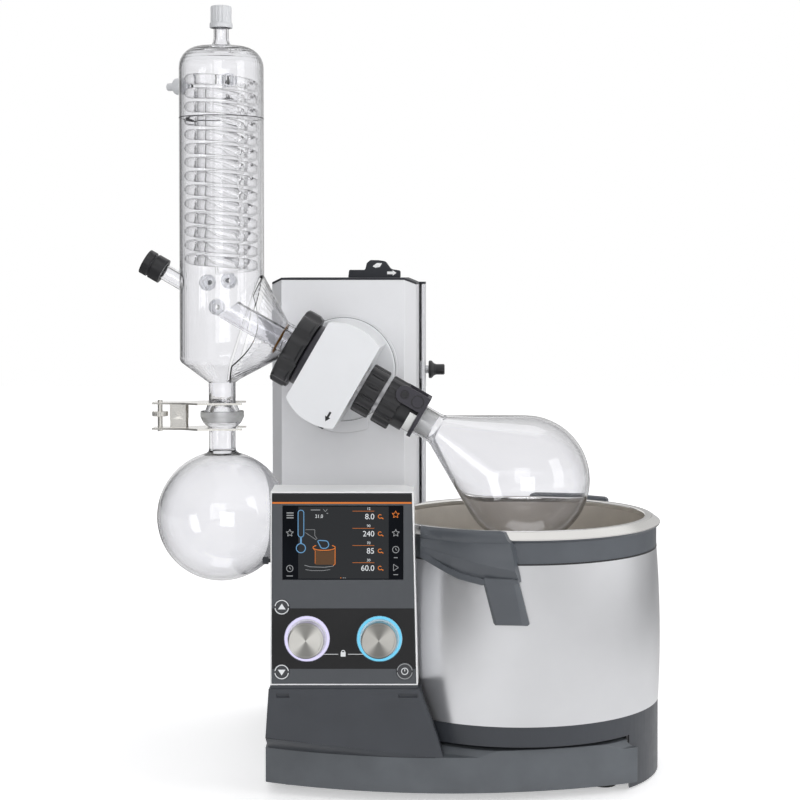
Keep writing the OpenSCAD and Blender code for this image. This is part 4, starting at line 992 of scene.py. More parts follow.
@dataclass
class Marks:
    """Flat shapes on the panel, gathered into one thin mesh."""

    low: float = 0.0
    high: float = 0.12
    parts: list[bmesh.types.BMesh] = field(default_factory=list)

    def area(self, outline: Sequence[Point2]) -> None:
        """Adds a filled shape."""
        self.parts.append(slab(outline, self.low, self.high))

    def box(self, u: float, w: float, width: float, height: float) -> None:
        """Adds a filled rectangle about its middle."""
        self.area(rectangle(u - width / 2, u + width / 2, w - height / 2, w + height / 2))

    def line(self, points: Sequence[Point2], width: float) -> None:
        """Adds a line through points as a row of thin bars."""
        for a, b in zip(map(Vector, points), map(Vector, points[1:])):
            run = b - a
            side = Vector((-run.y, run.x)).normalized() * width / 2
            self.area([tuple(a - side), tuple(b - side), tuple(b + side), tuple(a + side)])

    def ring(
        self, u: float, w: float, r: float, width: float, start: float = 0.0, end: float = 360.0
    ) -> None:
        """Adds a ring, or a part of one between two angles in degrees.

        Args:
            u: Its middle along the plane.
            w: Its middle up the plane.
            r: Radius to the middle of its line.
            width: Width of the line.
            start: Where it starts.
            end: Where it ends.
        """
        steps = 32
        outside = arc(u, w, r + width / 2, start, end, steps)
        inside = arc(u, w, r - width / 2, end, start, steps)
        if end - start >= 360:
            for k in range(steps):
                self.area([outside[k], outside[k + 1], inside[steps - 1 - k], inside[steps - k]])
        else:
            self.area(outside + inside)

    def text(self, words: str, u: float, w: float, height: float, align: str = "CENTER") -> None:
        """Adds plain numbers.

        Args:
            words: The digits.
            u: Where they stand along the panel.
            w: Height of their foot.
            height: Height of the letters.
            align: Which side of the place they stand on.
        """
        curve = bpy.data.curves.new("digits", "FONT")
        curve.body, curve.size, curve.align_x = words, height * LETTER_SIZE, align
        curve.extrude = (self.high - self.low) / 2
        holder = shown("digits", curve)
        graph = bpy.context.evaluated_depsgraph_get()
        mesh = bpy.data.meshes.new_from_object(holder.evaluated_get(graph))
        bpy.data.objects.remove(holder)
        bpy.data.curves.remove(curve)
        bm = bmesh.new()
        bm.from_mesh(mesh)
        bpy.data.meshes.remove(mesh)
        bmesh.ops.remove_doubles(bm, verts=bm.verts, dist=1e-5)
        self.parts.append(placed(bm, Matrix.Translation((u, w, (self.low + self.high) / 2))))

    def finish(self, name: str, finish: Surface, body: str = "base", place: Matrix | None = None) -> None:
        """Makes the shapes into one piece.

        Args:
            name: The piece's name.
            finish: Its finish.
            body: The body that it rides on.
            place: Where the shapes' plane lies, the panel's face if none is given.
        """
        add_piece(name, joined(self.parts), body, finish, at_panel() if place is None else place, smooth=20)


@dataclass
class Panel:
    """The control panel: frame, fascia, display, lit rings, knobs, keys and catch."""

    width: float = 139.2
    height: float = 182.2
    taper: float = 4.4
    margin: float = 1.5
    dark_bands: tuple[Point2, Point2] = ((172.6, 180.2), (15.4, 72.4))
    header_line: Point2 = (171.0, 172.6)
    band_t: float = 0.05
    screen: tuple[float, float, float, float] = (11.5, 99.5, 113.9, 69.6)
    glass_z: Point2 = (-2.4, -0.2)
    ink_z: Point2 = (-0.17, -0.08)
    knobs: tuple[Point2, Point2] = ((34.6, 43.6), (103.1, 43.6))
    knob_r: float = 17.0
    knob_out: float = 13.0
    light_r: Point2 = (18.8, 21.0)
    shaft_r: float = 3.1
    dial_gap: float = 0.8
    key_gap: float = 0.5
    keys: dict[str, tuple[float, float, float]] = field(default_factory=lambda: {
        "up": (10.9, 73.6, 7.0), "down": (10.9, 12.6, 7.0), "power": (127.0, 13.2, 7.7)})

    def build(self) -> None:
        """Builds the panel from its frame to its marks."""
        dressed("panel_frame", "panel_housing", "base", Finishes.WHITE_EDGE, bevel=0.5)
        dressed("panel_face", "panel_fascia", "base", Finishes.FASCIA, bevel=0.25)
        self.bands()
        self.display()
        self.dials()
        self.key_caps()
        self.printing()
        keep("panel_catch", Finishes.BLACK_CAP)
        for node in ("left_encoder", "right_encoder"):
            keep(node, Finishes.BEARING)

    def edge(self, w: float) -> float:
        """Returns the right edge of the fascia at a height."""
        return self.width - 1.6 - self.taper * w / (self.height + 5)

    def across(self, low: float, high: float, inset: float) -> list[Point2]:
        """Returns the fascia's outline between two heights, drawn in at both sides."""
        left = self.margin + inset
        return [(left, low), (self.edge(low) - inset, low), (self.edge(high) - inset, high), (left, high)]

    def bands(self) -> None:
        """Adds the dark bands behind the header and the dials, and the orange line."""
        header, dials = self.dark_bands
        strips = [slab(self.across(*header, 0.2), 0.0, self.band_t), *self.rows(*dials, 0.2)]
        add_piece("panel_bands", joined(strips), "base", Finishes.BAND, at_panel(), smooth=20)
        line = Marks(0.0, 0.25)
        line.area(self.across(*self.header_line, 0.1))
        line.finish("header_line", Finishes.ORANGE_MARK)

    def rows(self, low: float, high: float, inset: float) -> list[bmesh.types.BMesh]:
        """Returns a band as thin rows that leave the dials and keys their round holes.

        Args:
            low: Height of its lower edge.
            high: Height of its upper edge.
            inset: How far it is drawn in at both sides.

        Returns:
            The rows from low to high.
        """
        holes = [(u, w, self.light_r[1] + self.dial_gap) for u, w in self.knobs]
        holes += [(u, w, r + self.key_gap) for u, w, r in self.keys.values()]
        step = 0.75
        rows = []
        for i in range(round((high - low) / step)):
            foot, head = low + i * step, low + (i + 1) * step
            spans = [(self.margin + inset, self.edge(foot) - inset)]
            for u, w, r in holes:
                half = math.sqrt(max(r * r - ((foot + head) / 2 - w) ** 2, 0.0))
                if half > 0:
                    halves = [s for a, b in spans for s in ((a, min(b, u - half)), (max(a, u + half), b))]
                    spans = [(a, b) for a, b in halves if b - a > 0.05]
            rows += [slab(rectangle(a, b, foot, head), 0.0, self.band_t) for a, b in spans]
        return rows

    def display(self) -> None:
        """Builds the glass of the display and generic pictures and numbers on it."""
        u, w, width, height = self.screen
        outline = fillet([(x, y, 1.0) for x, y in rectangle(u, u + width, w, w + height)], 3)
        add_piece("display_glass", slab(outline, *self.glass_z), "base", Finishes.SCREEN, at_panel(),
                  replaces=("display",), bevel=0.2)
        at = at_panel(u, w)
        haze = Marks(self.glass_z[1], self.ink_z[0])
        haze.area(rectangle(14.8, 100.2, 0.8, height - 0.8))
        haze.finish("display_haze", Finishes.HAZE, place=at)
        self.readings(at)
        self.symbols(at)
        self.picture(at)

    def readings(self, at: Matrix) -> None:
        """Adds four plain numbers with a small one and a line over each.

        Args:
            at: The lower left corner of the display.
        """
        white, orange = Marks(*self.ink_z), Marks(*self.ink_z)
        for i, (value, small) in enumerate((("8.0", "12"), ("240", "90"), ("85", "70"), ("60.0", "30"))):
            foot = 56.9 - i * 16.2
            white.text(value, 86.8, foot, 5.4, "RIGHT")
            white.text(small, 83.0, foot + 8.8, 2.5, "RIGHT")
            orange.line([(66.0, foot + 7.6), (86.6, foot + 7.6)], 0.35)
            orange.ring(92.0, foot + 2.6, 1.7, 0.7, 40, 320)
            orange.line([(93.2, foot + 1.6), (95.2, foot + 0.2)], 0.9)
        orange.box(55.0, 1.6, 0.9, 0.9)
        white.text("21.0", 34.4, 58.2, 3.2)
        white.finish("display_numbers", Finishes.WHITE_MARK, place=at)
        orange.finish("display_lines", Finishes.ORANGE_MARK, place=at)

    def symbols(self, at: Matrix) -> None:
        """Adds the plain symbols in the columns at both sides of the display.

        Args:
            at: The lower left corner of the display.
        """
        grey, orange = Marks(*self.ink_z), Marks(*self.ink_z)
        for i in range(3):
            grey.box(7.0, 62.8 - i * 2.3, 6.6, 1.0)
        for marks, x, y in ((grey, 6.8, 43.8), (orange, 106.8, 61.2), (grey, 106.9, 43.8)):
            star = [(x + r * math.sin(k * math.pi / 5), y + r * math.cos(k * math.pi / 5))
                    for k, r in enumerate((3.6, 1.6) * 5)]
            marks.line([*star, star[0]], 0.55)
        for x, y in ((6.8, 10.4), (106.9, 28.2)):
            grey.ring(x, y, 3.0, 0.6)
            grey.line([(x, y + 1.7), (x, y), (x + 1.3, y - 0.6)], 0.5)
        grey.line([(104.8, 14.4), (104.8, 8.2), (109.4, 11.3), (104.8, 14.4)], 0.5)
        for x, y, wide in ((6.8, 3.4, 6.0), (106.9, 20.6, 3.6), (106.9, 4.6, 4.4), (57.4, 1.6, 1.0),
                           (59.2, 1.6, 1.0), (31.0, 65.6, 9.0), (42.2, 62.4, 1.4)):
            grey.box(x, y, wide, 0.7)
        grey.line([(38.4, 66.4), (40.4, 64.0), (42.2, 66.4)], 0.4)
        grey.finish("display_symbols", Finishes.GREY_MARK, place=at)
        orange.finish("display_star", Finishes.ORANGE_MARK, place=at)

    def picture(self, at: Matrix) -> None:
        """Adds the outline picture of the apparatus itself.

        Args:
            at: The lower left corner of the display.
        """
        low, high = self.ink_z
        blue, orange, ember, grey = (Marks(low + up, high) for up in (0.01, 0.01, 0.0, 0.0))
        tube = fillet([(14.6, 40.0, 2.6), (20.0, 40.0, 2.6), (20.0, 65.4, 2.4), (14.6, 65.4, 2.4)], 5)
        blue.line([*tube, tube[0]], 0.75)
        blue.line([(17.3, 40.0), (17.3, 34.2)], 1.6)
        blue.ring(17.3, 29.6, 4.3, 0.85)
        pear = fillet([(32.8, 36.6, 1.0), (35.4, 36.9, 2), (42.6, 36.4, 3), (44.0, 31.8, 3),
                       (41.0, 29.4, 2.5), (36.6, 29.4, 2.5)], 5)
        blue.line([*pear, pear[0]], 0.85)
        rim = [(39.2 + 10.6 * math.cos(math.radians(a)), 30.2 + 2.7 * math.sin(math.radians(a)))
               for a in range(-225, 46, 15)]
        orange.line(rim, 0.8)
        orange.line([(49.6, 29.4), (49.6, 14.6), (47.8, 13.4)], 0.75)
        orange.line([(29.0, 29.4), (30.8, 27.0), (30.8, 15.0)], 0.5)
        ember.area([(31.2, 14.0), (48.6, 14.0), (49.2, 15.4), (49.2, 27.6), (39.2, 26.4), (31.2, 27.6)])
        grey.line([(21.6, 47.0), (30.4, 47.0), (30.4, 41.6), (32.6, 38.2)], 0.35)
        grey.line([(21.6, 44.2), (31.8, 37.4)], 0.35)
        grey.line([(20.6, 13.6), (26.0, 12.0), (40.0, 11.6), (47.4, 12.6), (48.4, 13.4)], 0.45)
        grey.line([(21.6, 9.4), (28.0, 8.4), (38.0, 8.4), (45.0, 9.4)], 0.35)
        blue.finish("picture_glass", Finishes.BLUE_MARK, place=at)
        orange.finish("picture_bath", Finishes.ORANGE_MARK, place=at)
        ember.finish("picture_glow", Finishes.EMBER_MARK, place=at)
        grey.finish("picture_base", Finishes.GREY_MARK, place=at)

    def dials(self) -> None:
        """Builds the lit rings and the two turned knobs, the right one with painted shade in its darker
        colour.
        """
        # The right knob's colour is darker than the left's: painted shade, the two knobs being the same
        # turned metal.
        sides = (("left", Finishes.GLOW_LEFT, (0.66, 0.65, 0.62)),
                 ("right", Finishes.GLOW_RIGHT, (0.54, 0.53, 0.50)))
        inner, outer = self.light_r
        r, out, shaft = self.knob_r, self.knob_out, self.shaft_r
        for (u, w), (side, glow, colour) in zip(self.knobs, sides):
            place = at_panel(u, w)
            ring = lathe(fillet([(inner, -2.6), (outer, -2.6), (outer, 0.6, 0.5), (inner, 0.6, 0.5)], 4), 96)
            add_piece(f"{side}_light", ring, "base", glow, place,
                      replaces=("light_rings",) if side == "left" else ())
            profile = fillet([(0, -1.6), (shaft, -1.6), (shaft, -0.5), (r, -0.5, 0.3), (r, out - 1.6, 0.9),
                              (r - 1.5, out - 0.2, 0.5), (r - 2.3, out - 0.2, 0.3), (r - 2.6, out - 0.5, 0.2),
                              (0, out - 0.5)], 4, closed=False)
            metal = Finish(f"{side}_turned_knob", "knob_metal", colour, 0.3, metallic=1.0,
                           grain=Grain.TURNED, grain_mm=0.5, depth_mm=0.012, mottle=0.02, place=place)
            knob = lathe([(0.0, out - 2.0), (shaft, out - 2.0)] + profile[1:], 128)
            add_piece(f"{side}_dial", knob, f"{side}_grip", metal, place, replaces=(f"{side}_knob",))

    def key_caps(self) -> None:
        """Builds the three round keys with their marks."""
        for name, (u, w, r) in self.keys.items():
            profile = fillet([(0, -8.5), (r, -8.5), (r, 0.5, 0.4), (r - 0.8, 0.6, 0.3), (r - 1.2, 0.35, 0.3),
                              (0, 0.35)], 3, closed=False)
            cap = lathe(profile, 64, closed=False)
            body = f"{name}_key"
            add_piece(f"{name}_cap", cap, body, Finishes.KEY, at_panel(u, w), replaces=(f"{name}_button",))
            edge = Marks(0.55, 0.7)
            for start in (8, 188):
                edge.ring(0, 0, r - 0.6, 0.8, start, start + 164)
            edge.finish(f"{name}_ring", Finishes.GREY_MARK if name == "power" else Finishes.WHITE_MARK, body,
                        at_panel(u, w))
            mark = Marks(0.35, 0.5)
            if name == "power":
                mark.ring(0, 0, 3.0, 0.7, 0, 360)
                mark.box(0, 1.0, 0.7, 2.2)
            else:
                tip = 1 if name == "up" else -1
                mark.area([(-3.6, -2.1 * tip), (3.6, -2.1 * tip), (0, 3.3 * tip)])
            mark.finish(f"{name}_mark", Finishes.WHITE_MARK, body, at_panel(u, w))

    def printing(self) -> None:
        """Adds the padlock between the dials and its two lines."""
        mark = Marks(0.05, 0.17)
        middle = (self.knobs[0][0] + self.knobs[1][0]) / 2
        foot, half, height = 27.0, 2.3, 4.2
        body = rectangle(middle - half, middle + half, foot, foot + height)
        mark.area(fillet([(x, y, 0.4) for x, y in body], 3))
        mark.ring(middle, foot + height, 1.6, 0.7, 0, 180)
        for side in (-1, 1):
            mark.line([(middle + side * 4.6, foot + 2.2), (middle + side * 18.9, foot + 2.2)], 0.45)
        mark.finish("padlock_print", Finishes.WHITE_MARK)


@dataclass
class Bath:
    """The heating bath with its pot, shell, collar, skirt and grips."""

    pot_r: float = 126.5
    rim_z: float = 256.5
    rim_lip: float = 7.4
    floor_z: float = 92.0
    corner_r: float = 10.0
    wall: float = 2.0
    rim_r: float = 142.3
    low_r: float = 138.4
    shell_r: float = 142.0
    skirt_r: float = 140.2
    collar_z: float = 226.0
    skirt_top: float = 73.0
    levels: tuple[tuple[float, tuple[float, ...]], ...] = (
        (199.0, (-141.5, -135.5)), (216.0, (-141.0, -138.5, -136.0)))
    body: str = "bath"

    def build(self) -> None:
        """Builds the bath from the inside outwards."""
        self.pot()
        self.level_marks()
        self.shell()
        self.collar()
        dressed("bath_foot", "bath_skirt", self.body, Finishes.CONSOLE, bevel=0.6)
        dressed("bath_handles", "bath_grips", self.body, Finishes.GRIP, bevel=1.0, smooth=28)
        keep("bath_heater", Finishes.HEATER)

    def pot(self) -> None:
        """Builds the spun steel pot and its polished rim."""
        r, top, low, wall, turn = self.pot_r, self.rim_z, self.floor_z, self.wall, self.corner_r
        corner = (r - turn, low + turn)
        inside = [(0.0, low)] + arc(*corner, turn, -90, 0, 10) + [(r, top - 6)]
        outside = [(r + wall, top - 6)] + arc(*corner, turn + wall, 0, -90, 10) + [(0.0, low - wall)]
        pot = lathe(inside + outside, 192, closed=False)
        add_piece("pot_inside", pot, self.body, Finishes.POT, at_bath(), replaces=("bath_pot",))
        lip = r + self.rim_lip - 0.1
        inner, outer = r - 0.02, r + wall + 0.02
        rim = fillet([(inner, top - 6), (inner, top - 0.1, 1.6), (lip, top - 0.1, 0.5),
                      (lip, top - wall, 0.3), (outer, top - wall, 0.5), (outer, top - 6)], 6)
        add_piece("pot_rim", lathe(rim, 192), self.body, Finishes.RIM, at_bath())

    def level_marks(self) -> None:
        """Adds the short white level marks inside the pot."""
        marks = []
        for height, angles in self.levels:
            for angle in angles:
                spot = Matrix.Rotation(math.radians(angle), 4, "Z")
                spot = spot @ Matrix.Translation((self.pot_r - 0.35, 0, height))
                marks.append(placed(slab(rectangle(-0.1, 0.1, -2.2, 2.2), -0.8, 0.8), spot))
        add_piece("level_marks", joined(marks), self.body, Finishes.LEVEL, at_bath())

    def shell(self) -> None:
        """Builds the barrel-shaped outer shell, which bulges by a parabola between its two ends."""
        low_r, high_r = self.skirt_r + 0.3, self.low_r + 0.1
        bulge = self.shell_r - (low_r + high_r) / 2
        middle, half = (self.skirt_top + self.collar_z) / 2, (self.collar_z - self.skirt_top) / 2
        steps = 14
        outside = []
        for i in range(steps + 1):
            share = i / steps
            up = 2 * share - 1
            outside.append((low_r + (high_r - low_r) * share + bulge * (1 - up * up), middle + up * half))
        inside = [(r - 1.5, z) for r, z in reversed(outside)]
        add_piece("bath_barrel", lathe(outside + inside, 192), self.body, Finishes.SHELL, at_bath(),
                  replaces=("bath_shell",))

    def collar(self) -> None:
        """Builds the dark collar, the polished flare over it and the thin black joint below it."""
        inner, top, low = self.pot_r + self.wall + 0.3, self.rim_z, self.collar_z
        edge, lip = self.rim_r, self.pot_r + self.rim_lip
        ring = fillet([(inner, low), (self.low_r, low, 0.4), (self.low_r, top - 10, 1.5),
                       (edge - 0.6, top - 8.4, 1.0), (edge - 0.6, top - 7.4, 0.6), (inner, top - 7.0)], 5)
        add_piece("bath_rim_collar", lathe(ring, 192), self.body, Finishes.GRIP, at_bath(),
                  replaces=("bath_collar",))
        flare = fillet([(inner, top - 7.2), (edge - 0.2, top - 7.5, 0.4), (edge, top - 6.3, 0.6),
                        (lip, top, 0.6), (lip, top - 2.1), (inner, top - 2.1)], 5)
        add_piece("rim_flare", lathe(flare, 192), self.body, Finishes.RIM, at_bath())
        joint = rectangle(self.low_r - 1.5, self.low_r + 0.35, low - 0.9, low + 0.6)
        add_piece("collar_joint", lathe(joint, 192), self.body, Finishes.BLACK_NUT, at_bath())


@dataclass
class Head:
    """The tilting drive head with its disc, slab, collar and lock."""

    disc_r: float = 54.0
    disc_back: float = 19.7
    disc_t: float = 13.0
    slab_front: float = -109.0
    left: float = 31.0
    collar_r: float = 33.0
    spigot_r: float = 25.2
    thread_r: float = 29.9
    bore_r: float = 18.0

    def build(self) -> None:
        """Builds the visible head and dresses its inner parts."""
        self.disc()
        dressed("drive_cover", "drive_housing", "head", Finishes.HEAD_PAINT, bevel=1.6, smooth=28)
        self.collar()
        self.marks()
        dressed("lock_slide", "spindle_lock", "lock", Finishes.BLACK_NUT, bevel=1.0)
        keep("drive_motor", Finishes.ACTUATOR)
        keep("drive_belt", Finishes.BELT)
        keep("spindle_bearings", Finishes.BEARING)
        keep("motor_pulley", Finishes.BEARING)
        keep("spindle_seal", Finishes.SEAL)

    def disc(self) -> None:
        """Builds the round back disc with a thin dark ring round its edge, painted shadow of the joint, and
        the tilt shaft behind it.
        """
        r, thick = self.disc_r, self.disc_t
        face = at_tilt(self.disc_back - thick)
        shaft = self.behind(copied("head_disc"), self.disc_back - 0.5)
        add_piece("tilt_shaft", shaft, "head", Finishes.BEARING, replaces=("head_disc",))
        disc = fillet([(0, 0), (r - 1.2, 0, 0.2), (r, 1.2, 0.6), (r, thick, 0.3), (0, thick)], 4,
                      closed=False)
        add_piece("turntable", lathe(disc, 128, closed=False), "head", Finishes.HEAD_PAINT, face)
        # A dark ring at the disc's edge: painted shadow in the joint between the disc and the flange.
        joint = lathe(rectangle(r - 0.02, r + 0.5, 2.0, 3.2), 128)
        add_piece("turntable_joint_shadow", joint, "head", Finishes.ACTUATOR, face)

    def behind(self, bm: bmesh.types.BMesh, depth: float) -> bmesh.types.BMesh:
        """Returns the part of a mesh that lies behind a depth, closed at the cut."""
        geom = bm.verts[:] + bm.edges[:] + bm.faces[:]
        cut = bmesh.ops.bisect_plane(
            bm, geom=geom, plane_co=(0, depth, 0), plane_no=(0, -1, 0), clear_outer=True)
        edges = [e for e in cut["geom_cut"] if isinstance(e, bmesh.types.BMEdge)]
        bmesh.ops.holes_fill(bm, edges=edges)
        bmesh.ops.recalc_face_normals(bm, faces=bm.faces)
        return bm

    def collar(self) -> None:
        """Builds the satin collar on the condenser side."""
        end, start = -self.left - 0.05, -self.left - 8.0
        bore, spigot, thread, r = self.bore_r, self.spigot_r, self.thread_r, self.collar_r
        profile = fillet([(bore, start - 2), (spigot, start - 2), (spigot, start - 13),
                          (thread, start - 13, 0.5), (thread, start, 0.3), (r - 1.2, start, 0.6),
                          (r, start + 1.2, 0.6), (r, end), (bore, end)], 4)
        add_piece("drive_collar", lathe(profile, 128), "head", Finishes.YOKE, at_axis(),
                  replaces=("head_collar",))

    def face(self, depth: float, turn: float) -> Matrix:
        """Returns the upright place that looks to the front on the tilt axis, turned by degrees."""
        place = Matrix.Translation((TILT_CENTRE[0], depth - 0.05, TILT_CENTRE[2]))
        return place @ Matrix.Rotation(math.pi / 2, 4, "X") @ Matrix.Rotation(math.radians(turn), 4, "Z")

    def marks(self) -> None:
        """Adds the small arrow that shows which way the lock slides, and the tick on the disc."""
        arrow = [(13.4, -33.0), (15.6, -33.0), (15.6, -38.6), (17.4, -38.6), (14.5, -43.6), (11.6, -38.6),
                 (13.4, -38.6)]
        add_piece("lock_arrow", slab(arrow, 0.0, PRINT_T), "head", Finishes.PRINT,
                  self.face(self.slab_front, -DRIVE_SLOPE))
        tick = rectangle(-0.3, 0.3, 48.5, 51.9)
        add_piece("tilt_tick", slab(tick, 0.0, PRINT_T), "head", Finishes.PRINT,
                  self.face(self.disc_back - self.disc_t, -42))


@dataclass
class Spindle:
    """What turns with the flask: hub, vapour tube, ejector nut, clamp and the pear-shaped flask."""

    nut_start: float = 28.0
    nut_h: float = 19.0
    nut_r: float = 26.5
    nut_bore: float = 17.4
    fork_rings: tuple[Point2, Point2] = ((69.0, 4.6), (84.0, 6.6))
    fork_side: Point2 = (-15.8, 23.75)
    tube_r: float = 11.85
    flask_r: float = 65.5
    flask_reach: float = 218.0
    neck_r: float = 15.6
    neck_from: float = 62.0
    joint_from: float = 78.0
    joint_length: float = 32.0
    cone: float = 30.0
    wall: float = 2.2

    def build(self) -> None:
        """Builds the spindle's parts from the head outwards."""
        keep("spindle_hub", Finishes.BEARING)
        self.ejector()
        dressed("clamp_core", "clamp_collar", "rotor", Finishes.BLACK_NUT, bevel=0.5, smooth=28)
        dressed("clamp_catch", "clamp_latch", "rotor", Finishes.LATCH, bevel=0.5)
        self.yoke()
        self.tube()
        self.flask()

    def ejector(self) -> None:
        """Builds the ejector nut as a ribbed grip ring with a bead in each of its flutes."""
        r, length, count = self.nut_r, self.nut_h, 12
        profile = fillet([(r - 2.4, 0), (r - 1.0, 0.1, 0.3), (r, 1.3, 0.6), (r, length - 1.3, 0.6),
                          (r - 1.0, length - 0.1, 0.3), (r - 2.4, length)], 4, closed=False)
        ring = lobed(profile, self.nut_bore, count, 2.2, 0.72)
        beads = rib_ring("ejector_beads", count, r - 1.9, (1.3, 1.5, length * 0.36), Finishes.BLACK_NUT)
        turned = Matrix.Translation((0, 0, length / 2)) @ Matrix.Rotation(math.pi / count, 4, "Z")
        add_piece("ejector_ring", joined([ring, placed(beads, turned)]), "ejector", Finishes.BLACK_NUT,
                  at_axis(self.nut_start), replaces=("ejector_nut",), smooth=40)

    def yoke(self) -> None:
        """Builds the yoke with its ears, flange and round dimples."""
        dressed("clamp_fork", "clamp_yoke", "yoke", Finishes.YOKE, bevel=0.8, smooth=28)
        lower, out = self.fork_side
        for side, name in ((-1, "front"), (1, "back")):
            discs = []
            for along, r in self.fork_rings:
                inner = r - 1.0
                outline = fillet([(inner, 0.0, 0.1), (r, 0.0, 0.1), (r, 0.4, 0.15), (inner, 0.4, 0.15)], 3)
                place = at_axis(along) @ Matrix.Translation((lower, side * out, 0))
                place = place @ Matrix.Rotation(side * -math.pi / 2, 4, "X")
                discs.append(placed(lathe(outline, 48), place))
            add_piece(f"yoke_rings_{name}", joined(discs), "yoke", Finishes.BLACK_NUT)

    def ground(self, along: float) -> float:
        """Returns the radius of the ground joint at a distance along the drive axis."""
        into = min(max(along - self.joint_from, 0.0), self.joint_length)
        return self.neck_r - 0.9 - 0.05 * into

    def tube(self) -> None:
        """Builds the vapour tube with its frosted cone."""
        dressed("vapour_pipe", "vapour_tube", "rotor", Finishes.GLASS, smooth=40)
        start, end = self.joint_from + 2.0, self.joint_from + self.joint_length
        inner = self.tube_r - 1.6
        frost = [(inner, start), (self.ground(start) - 0.35, start), (self.ground(end) - 0.35, end - 0.5),
                 (inner, end - 0.5)]
        add_piece("ground_cone", lathe(frost, 96), "rotor", Finishes.FROSTED, at_axis())

    def flask(self) -> None:
        """Builds the pear-shaped flask as one blown shell, with heights from the middle of its ball."""
        outer_neck = [(self.neck_r, self.neck_from - self.flask_reach)]
        outside = self.pear(self.flask_r, self.neck_r, 14.0, outer_neck, 10)
        end, wide = self.joint_from + self.joint_length, self.ground(self.joint_from)
        inner_neck = [(self.ground(end), end - self.flask_reach), (wide, self.joint_from - self.flask_reach),
                      (wide, self.neck_from - self.flask_reach)]
        inside = self.pear(self.flask_r - self.wall, self.ground(end), 10.0, inner_neck, 8)
        add_piece("pear_flask", lathe(outside + inside[::-1], 160, closed=False), "rotor", Finishes.GLASS,
                  at_axis(self.flask_reach), replaces=("evaporating_flask",), smooth=50)

    def pear(self, r: float, neck_r: float, turn: float, neck: list[Point2], steps: int) -> list[Point2]:
        """Returns a profile that runs round a ball and down a cone into a neck.

        Args:
            r: Radius of the ball.
            neck_r: Radius where the cone meets the neck.
            turn: Radius of the bend between the two.
            neck: The neck's further points.
            steps: Straight pieces in the bend.

        Returns:
            The profile from the ball's pole to the neck's end.
        """
        angle = math.radians(self.cone)
        knee = (r * math.cos(angle), -r * math.sin(angle))
        start = knee[1] - (knee[0] - neck_r) / math.tan(angle)
        ball = [(max(x, 0.0), z) for x, z in arc(0, 0, r, 90, -self.cone + 8, 40)]
        return ball + fillet([knee, (neck_r, start, turn), *neck], steps, closed=False)


